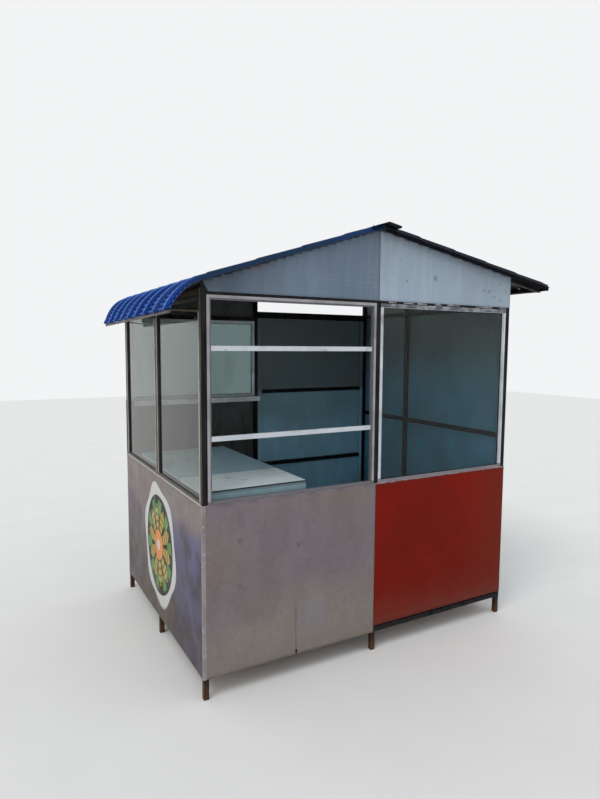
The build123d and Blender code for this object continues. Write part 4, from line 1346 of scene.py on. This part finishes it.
mesh = bmesh.new()
bmesh.ops.create_grid(mesh, x_segments=42, y_segments=42, size=1.0)
for vertex in mesh.verts:
    x, y = vertex.co.x, vertex.co.y
    across, up = x * (1 - y * y / 2) ** 0.5, y * (1 - x * x / 2) ** 0.5
    lobes = 1.0 + 0.05 * (across * across + up * up) * sin(6 * atan2(up, across + 1e-9))
    place = panels["panel_left"]["surface"](STICKER_MIDDLE[0] + across * lobes * STICKER_HALF[0],
                                            STICKER_MIDDLE[1] + up * lobes * STICKER_HALF[1])
    vertex.co = place - TO_RIGHT * STICKER_LIFT
face_outward(mesh, -TO_RIGHT)
bmesh.ops.solidify(mesh, geom=mesh.faces[:], thickness=STICKER_GAUGE)
new_piece("sticker", mesh, ["sticker_print"], smooth=True)

# %% [markdown]
# ## Blocks and strips
# Plates, bars and angles begin as a cube moved to two corners. A long one that has to bend is cut
# across by `subdivide_edges`, and an angle is a flat bar whose upper end is extruded sideways.

# %% Stop over the door
STOP_START, STOP_END, STOP_TOP = 0.8925, 1.8025, 1.775
STOP_CLEAR, STOP_GAUGE, STOP_FOLD = 0.005, 0.003, 0.005


def block(mesh, low, high):
    made = bmesh.ops.create_cube(mesh, size=1.0)["verts"]
    for vertex in made:
        vertex.co = [low[n] + (vertex.co[n] + 0.5) * (high[n] - low[n]) for n in range(3)]
    return made


# The closed leaf stands clear of this angle under the head rail.
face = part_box("door_frame")[0].y - STOP_CLEAR
mesh = bmesh.new()
block(mesh, (LEFT + STOP_START, face - STOP_GAUGE, FRAME_HEAD), (LEFT + STOP_END, face, STOP_TOP))
cut(mesh, UP * HEAD_Z, UP)
mesh.normal_update()
top = [face for face in mesh.faces if face.normal.y > 0.9 and face.calc_center_median().z > HEAD_Z]
made = bmesh.ops.extrude_discrete_faces(mesh, faces=top)["faces"]
bmesh.ops.translate(mesh, vec=TO_BACK * STOP_FOLD, verts=made[0].verts[:])
new_piece("door_head_stop", mesh, ["black_enamel"])

# %% Bar along the awning's lip
# The bar is a straight block in the flat sheet's measures, and bends and sags with the awning.
LIP_LOW, LIP_HIGH = -0.0042, -0.0002
LIP_START, LIP_END = -0.001, 0.011
LIP_SHORT = ROOF_OVERHANG - 0.005

mesh = bmesh.new()
block(mesh, (LIP_START, -LIP_SHORT, LIP_LOW), (LIP_END, DEPTH + LIP_SHORT, LIP_HIGH))
long_edges = [edge for edge in mesh.edges if edge.calc_length() > 1.0]
bmesh.ops.subdivide_edges(mesh, edges=long_edges, cuts=23, use_grid_fill=True)
down = fall(LEFT_SLOPE + AWNING_TURN, -1)[0]
for vertex in mesh.verts:
    vertex.co = droop(on_awning(AWNING_RUN, vertex.co.y, vertex.co.z) + down * vertex.co.x)
bmesh.ops.reverse_faces(mesh, faces=mesh.faces)
new_piece("awning_lip_bar", mesh, ["lip_bar_paint"])

# %% [markdown]
# ## Sealant over the right window
# Someone pressed sealant into the gap over the window by hand. A level grid over the gap loses
# faces where noise is low, so gaps show, and its rows wander by the same kind of noise.

# %% Sealant
SEALANT_Z, SEALANT_HEIGHT, SEALANT_GAUGE = 1.7785, 0.009, 0.0006
SEALANT_WANDER, SEALANT_SWELL, SEALANT_MISSING = 0.0035, 0.0012, -0.12

rail_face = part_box("head_rails")[0].y
low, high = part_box("window_frame_front_right")
mesh = bmesh.new()
bmesh.ops.create_grid(mesh, x_segments=150, y_segments=2, size=0.5)
for vertex in mesh.verts:
    across, up = low.x + (vertex.co.x + 0.5) * (high.x - low.x), vertex.co.y
    ragged = noise.noise(Vector((across * 28.0, up * 2.0, 3.0))) * SEALANT_WANDER
    swell = SEALANT_SWELL if abs(up) < 0.1 else 0.0
    vertex.co = (across, rail_face - SEALANT_GAUGE - swell,
                 SEALANT_Z + up * SEALANT_HEIGHT + ragged)
gaps = [face for face in mesh.faces
        if noise.noise(face.calc_center_median() * 17.0) < SEALANT_MISSING]
bmesh.ops.delete(mesh, geom=gaps, context="FACES")
face_outward(mesh, -TO_BACK)
bmesh.ops.solidify(mesh, geom=mesh.faces[:], thickness=SEALANT_GAUGE)
new_piece("window_sealant", mesh, ["sealant"], smooth=True)

# %% [markdown]
# ## Glazing rubber
# A thin rubber lies between each pane and its frame, on both sides. A rectangle of one face is
# inset, its middle is deleted and the ring that is left is given a thickness.

# %% Glazing rubber
RUBBER_INSET, RUBBER_WIDTH, RUBBER_PROUD = 0.0075, 0.0028, 0.0012
# Each pane with the axis that it is thin along, 0 for X and 1 for Y.
PANES = {"glass_front_right": 1, "glass_left_near": 0, "glass_left_far": 0, "glass_back_left": 1}


def rubber_ring(mesh, low, high, axis, side):
    """One ring on the low (-1) or high (1) side of a pane."""
    made = bmesh.ops.create_grid(mesh, x_segments=1, y_segments=1, size=0.5)["verts"]
    for vertex in made:
        place = Vector()
        place[axis] = (low if side < 0 else high)[axis] + side * RUBBER_PROUD
        for way, share in ((1 - axis, vertex.co.x), (2, vertex.co.y)):
            size = high[way] - low[way] - 2 * RUBBER_INSET
            place[way] = (low[way] + high[way]) / 2 + share * size
        vertex.co = place
    face = made[0].link_faces[0]
    face.normal_update()
    if face.normal[axis] * side < 0:
        bmesh.ops.reverse_faces(mesh, faces=[face])
    ring = bmesh.ops.inset_region(mesh, faces=[face], thickness=RUBBER_WIDTH, use_boundary=True,
                                  use_even_offset=True)["faces"]
    bmesh.ops.delete(mesh, geom=[face], context="FACES_ONLY")
    bmesh.ops.solidify(mesh, geom=ring, thickness=RUBBER_PROUD)


mesh = bmesh.new()
for node, axis in PANES.items():
    for side in (-1, 1):
        rubber_ring(mesh, *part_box(node), axis, side)
new_piece("glazing_rubber", mesh, ["rubber"])

# %% [markdown]
# ## Roof screws
# Hexagon screws with washers hold the sheets down in their pans, over the purlins and the walls,
# and smaller ones hold the ridge cap on the ribs. Two cones make one screw: a wide flat one with
# many sides for the washer and one with six sides for the head. The functions that laid the
# sheets place them.

# %% Roof screws
# The washer and the head: sides, radius below and above, where it starts and how tall it is.
SCREW_CONES = [(14, 0.008, 0.0072, 0.0, 0.0016), (6, 0.005, 0.0044, 0.0016, 0.0048)]
LEFT_SCREWS, RIGHT_SCREWS, CAP_SCREWS = (0.455, 0.035), (1.37, 1.815), 0.052
SCREW_SUNK, SCREW_TURN, CAP_SCREW_SIZE = -0.0003, 0.7, 0.6


def upright(place, normal, spin=0.0):
    """A matrix that stands a shape on a surface."""
    turn = normal.to_track_quat("Z", "Y").to_matrix().to_4x4()
    return Matrix.Translation(place) @ turn @ Matrix.Rotation(spin, 4, "Z")


def add_screw(mesh, place, normal, spin, size=1.0):
    stand = upright(place, normal, spin)
    for sides, wide, narrow, low, tall in SCREW_CONES:
        lift = Matrix.Translation((0, 0, (low + tall / 2) * size))
        bmesh.ops.create_cone(mesh, cap_ends=True, segments=sides, radius1=wide * size,
                              radius2=narrow * size, depth=tall * size, matrix=stand @ lift)


pans = [place + RIB_PITCH / 2 for place in rib_places[:-1]]
left, right = (lay_left, LEFT_OUT), (lay_right, RIGHT_OUT)
screws = [(*left, (APEX_X - x) / cos(LEFT_SLOPE), place, SCREW_SUNK, 1.0)
          for x in LEFT_SCREWS for place in pans]
screws += [(*right, (x - APEX_X) / cos(RIGHT_SLOPE), place, SCREW_SUNK, 1.0)
           for x in RIGHT_SCREWS for place in pans]
screws += [(*side, CAP_SCREWS, place, RIB_HEIGHT + CAP_SHEET, CAP_SCREW_SIZE)
           for place in rib_places for side in (left, right)]
mesh = bmesh.new()
for number, (lay, out, run, place, height, size) in enumerate(screws):
    add_screw(mesh, lay(Vector((run, place, height))), out, number * SCREW_TURN, size)
new_piece("roof_screws", mesh, ["screw_paint"])
print("roof screws:", len(screws))

# %% [markdown]
# ## Rivets
# Rivets hold the panels to the tubes, about one hand apart, and they were painted or have dulled
# with their panel. Each is a low cone with its top cut off, placed on the panel's own surface.

# %% Rivets
RIVET_INSET, RIVET_PITCH = 0.012, 0.165
RIVET_FOOT, RIVET_HEAD, RIVET_TALL, RIVET_LIFT = 0.0034, 0.0017, 0.0014, 0.0005


def rivet_places(ends, heights, posts, rails):
    """Places round the edges of a panel and along the tubes that it crosses."""
    alongs, levels = [even_rows(first + RIVET_INSET, last - RIVET_INSET, RIVET_PITCH)
                      for first, last in (ends, heights)]
    rows = [(along, level) for along in alongs for level in (levels[0], levels[-1], *rails)]
    columns = [(along, level) for along in (alongs[0], alongs[-1], *posts) for level in levels]
    return sorted({(round(along, 4), round(level, 4)) for along, level in rows + columns})


def rivet(name, places):
    """One piece with a rivet at each place along and up a panel."""
    sheet = panels[name]
    out = sheet["outward"]
    mesh = bmesh.new()
    for along, level in places:
        stand = upright(sheet["surface"](along, level) + out * RIVET_LIFT, out)
        bmesh.ops.create_cone(mesh, cap_ends=True, segments=10, radius1=RIVET_FOOT,
                              radius2=RIVET_HEAD, depth=RIVET_TALL, matrix=stand)
    node = sheet["node"]
    new_piece(name + "_rivets", mesh, [sheet["coat"]], body=body_of(node))


for name in ("front_left", "front_right", "left", "back_left", "door"):
    sheet = panels["panel_" + name]
    rivet("panel_" + name,
          rivet_places(sheet["ends"], sheet["heights"], sheet["posts"], sheet["rails"]))


# %% Rivets along the gables and the right wall
FOOT_ROW, FOOT_CLEAR, ROOF_ROW, SEAM_ROW, OUTER_ROW = 0.009, 0.005, 0.016, 0.013, 0.1


def rivet_gable(name, ends, slope):
    """A level row along the foot and a row under the slope."""
    foot = panels[name]["heights"][0]
    places = []
    for along in even_rows(*ends, RIVET_PITCH):
        under_roof = APEX_Z - abs(along - RIDGE_X) * sin(slope) / cos(slope) - ROOF_ROW
        levels = (foot + FOOT_ROW, under_roof)
        places += [(along, level) for level in levels if level > foot + FOOT_CLEAR]
    rivet(name, places)


rivet_gable("gable_front_left", (LEFT + OUTER_ROW, RIDGE_X - SEAM_ROW), LEFT_SLOPE)
rivet_gable("gable_front_right", (RIDGE_X + SEAM_ROW, RIGHT - SEAM_ROW), RIGHT_SLOPE)

low, high = panels["panels_right"]["heights"]
rivet("panels_right", [place for ends in ((NEAR, NEAR + RIGHT_MIDDLE), (NEAR + RIGHT_MIDDLE, FAR))
                       for place in rivet_places(ends, (low, high - RIVET_INSET), (), WALL_RAILS)])

# %% [markdown]
# ## Welds
# The frame was welded by hand, and each joint shows a short string of beads. A bead is a small
# icosphere, flattened and shifted by noise, so no two joints look alike. Blender seeds that noise
# from the clock, so a seed of its own is set first, and each run gives the same beads.

# %% Welds
BEAD, BEAD_RADIUS, BEAD_WANDER, BEAD_FLAT = 0.0038, 0.0021, 0.0006, 0.8
BEAD_COUNT = int(TUBE / BEAD) + 1
WALL_RAIL_Z = 1.04
DOOR_RAIL_Z = (0.708, 1.228)
BACK_POST, FRONT_POST, SIDE_POST = (0.8775, 0.9025), (0.9025, 0.9275), (0.8625, 0.8875)
WELD_SEED = 7


def weld(mesh, start, along=UP):
    """A string of beads as long as a tube is wide."""
    for number in range(BEAD_COUNT):
        place = start + along * (number * BEAD)
        wander = noise.noise_vector(place * 180.0) * BEAD_WANDER
        size = BEAD_RADIUS * (1.0 + 0.3 * noise.noise(place * 240.0))
        shape = Matrix.Diagonal((size, size, size * BEAD_FLAT, 1.0))
        bmesh.ops.create_icosphere(mesh, subdivisions=1, radius=1.0,
                                   matrix=Matrix.Translation(place + wander) @ shape)


noise.seed_set(WELD_SEED)

# Joints on the inner faces of the back and right walls, at the feet, at the head and on the door.
first = SHEET + TUBE
right, back = WIDTH - first, DEPTH - first
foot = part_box("base_rails")[0].z
starts = [(x, back, level) for x in (first, *BACK_POST, right) for level in (HEAD_Z, foot)]
starts += [(right, y, level) for y in (first, *SIDE_POST, back) for level in (WALL_RAIL_Z, HEAD_Z)]
starts += [(x, first, HEAD_Z) for x in (first, *FRONT_POST, right)]
mesh = bmesh.new()
for start in starts:
    weld(mesh, spot(*start))
for x in (first, *FRONT_POST, right):
    for y in (SHEET, back):
        weld(mesh, spot(x, y, foot), TO_BACK)
new_piece("frame_welds", mesh, ["weld_bead"])

low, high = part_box("door_frame")
mesh = bmesh.new()
for x in (low.x + TUBE, high.x - TUBE):
    for level in (low.z, *DOOR_RAIL_Z):
        weld(mesh, Vector((x, low.y, level)))
new_piece("door_welds", mesh, ["weld_bead"], body="door")

# %% [markdown]
# ## Plates of the door handle
# The bent handle is welded to two small plates, which are screwed to the leaf. Each plate is a
# block with its long corners bevelled.

# %% Handle plates
PLATE_WIDE, PLATE_TALL, PLATE_GAUGE, PLATE_CORNER = 0.024, 0.038, 0.002, 0.004
BEND_INSET, PLATE_SCREW, PLATE_SCREW_SIZE = 0.005, 0.013, 0.42

low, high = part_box("door_handle")
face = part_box("door_sheet")[1].y
half = Vector((PLATE_WIDE / 2, 0, PLATE_TALL / 2))
mesh = bmesh.new()
for level in (low.z + BEND_INSET, high.z - BEND_INSET):
    middle = Vector(((low.x + high.x) / 2, face, level))
    outer = TO_BACK * PLATE_GAUGE
    made = block(mesh, middle - half, middle + half + outer)
    corners = dict.fromkeys(edge for vertex in made for edge in vertex.link_edges)
    corners = [edge for edge in corners if abs(edge.verts[0].co.y - edge.verts[1].co.y) > 0.001]
    bevel(mesh, corners, PLATE_CORNER, 3)
    for shift in (-PLATE_SCREW, PLATE_SCREW):
        place = middle + outer + UP * shift
        add_screw(mesh, place, TO_BACK, shift * 40, PLATE_SCREW_SIZE)
new_piece("handle_plates", mesh, ["hinge_steel"], body="door")

# %% [markdown]
# ## Sizes
# The last cell measures the dressed kiosk, so that it can be compared with the frame's own box.

# %% Sizes
boxes = {"cad": [list(corner) for corner in cad_box], "visual": [list(corner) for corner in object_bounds()]}
for name, box in boxes.items():
    print(name, [[round(value, 4) for value in corner] for corner in box])
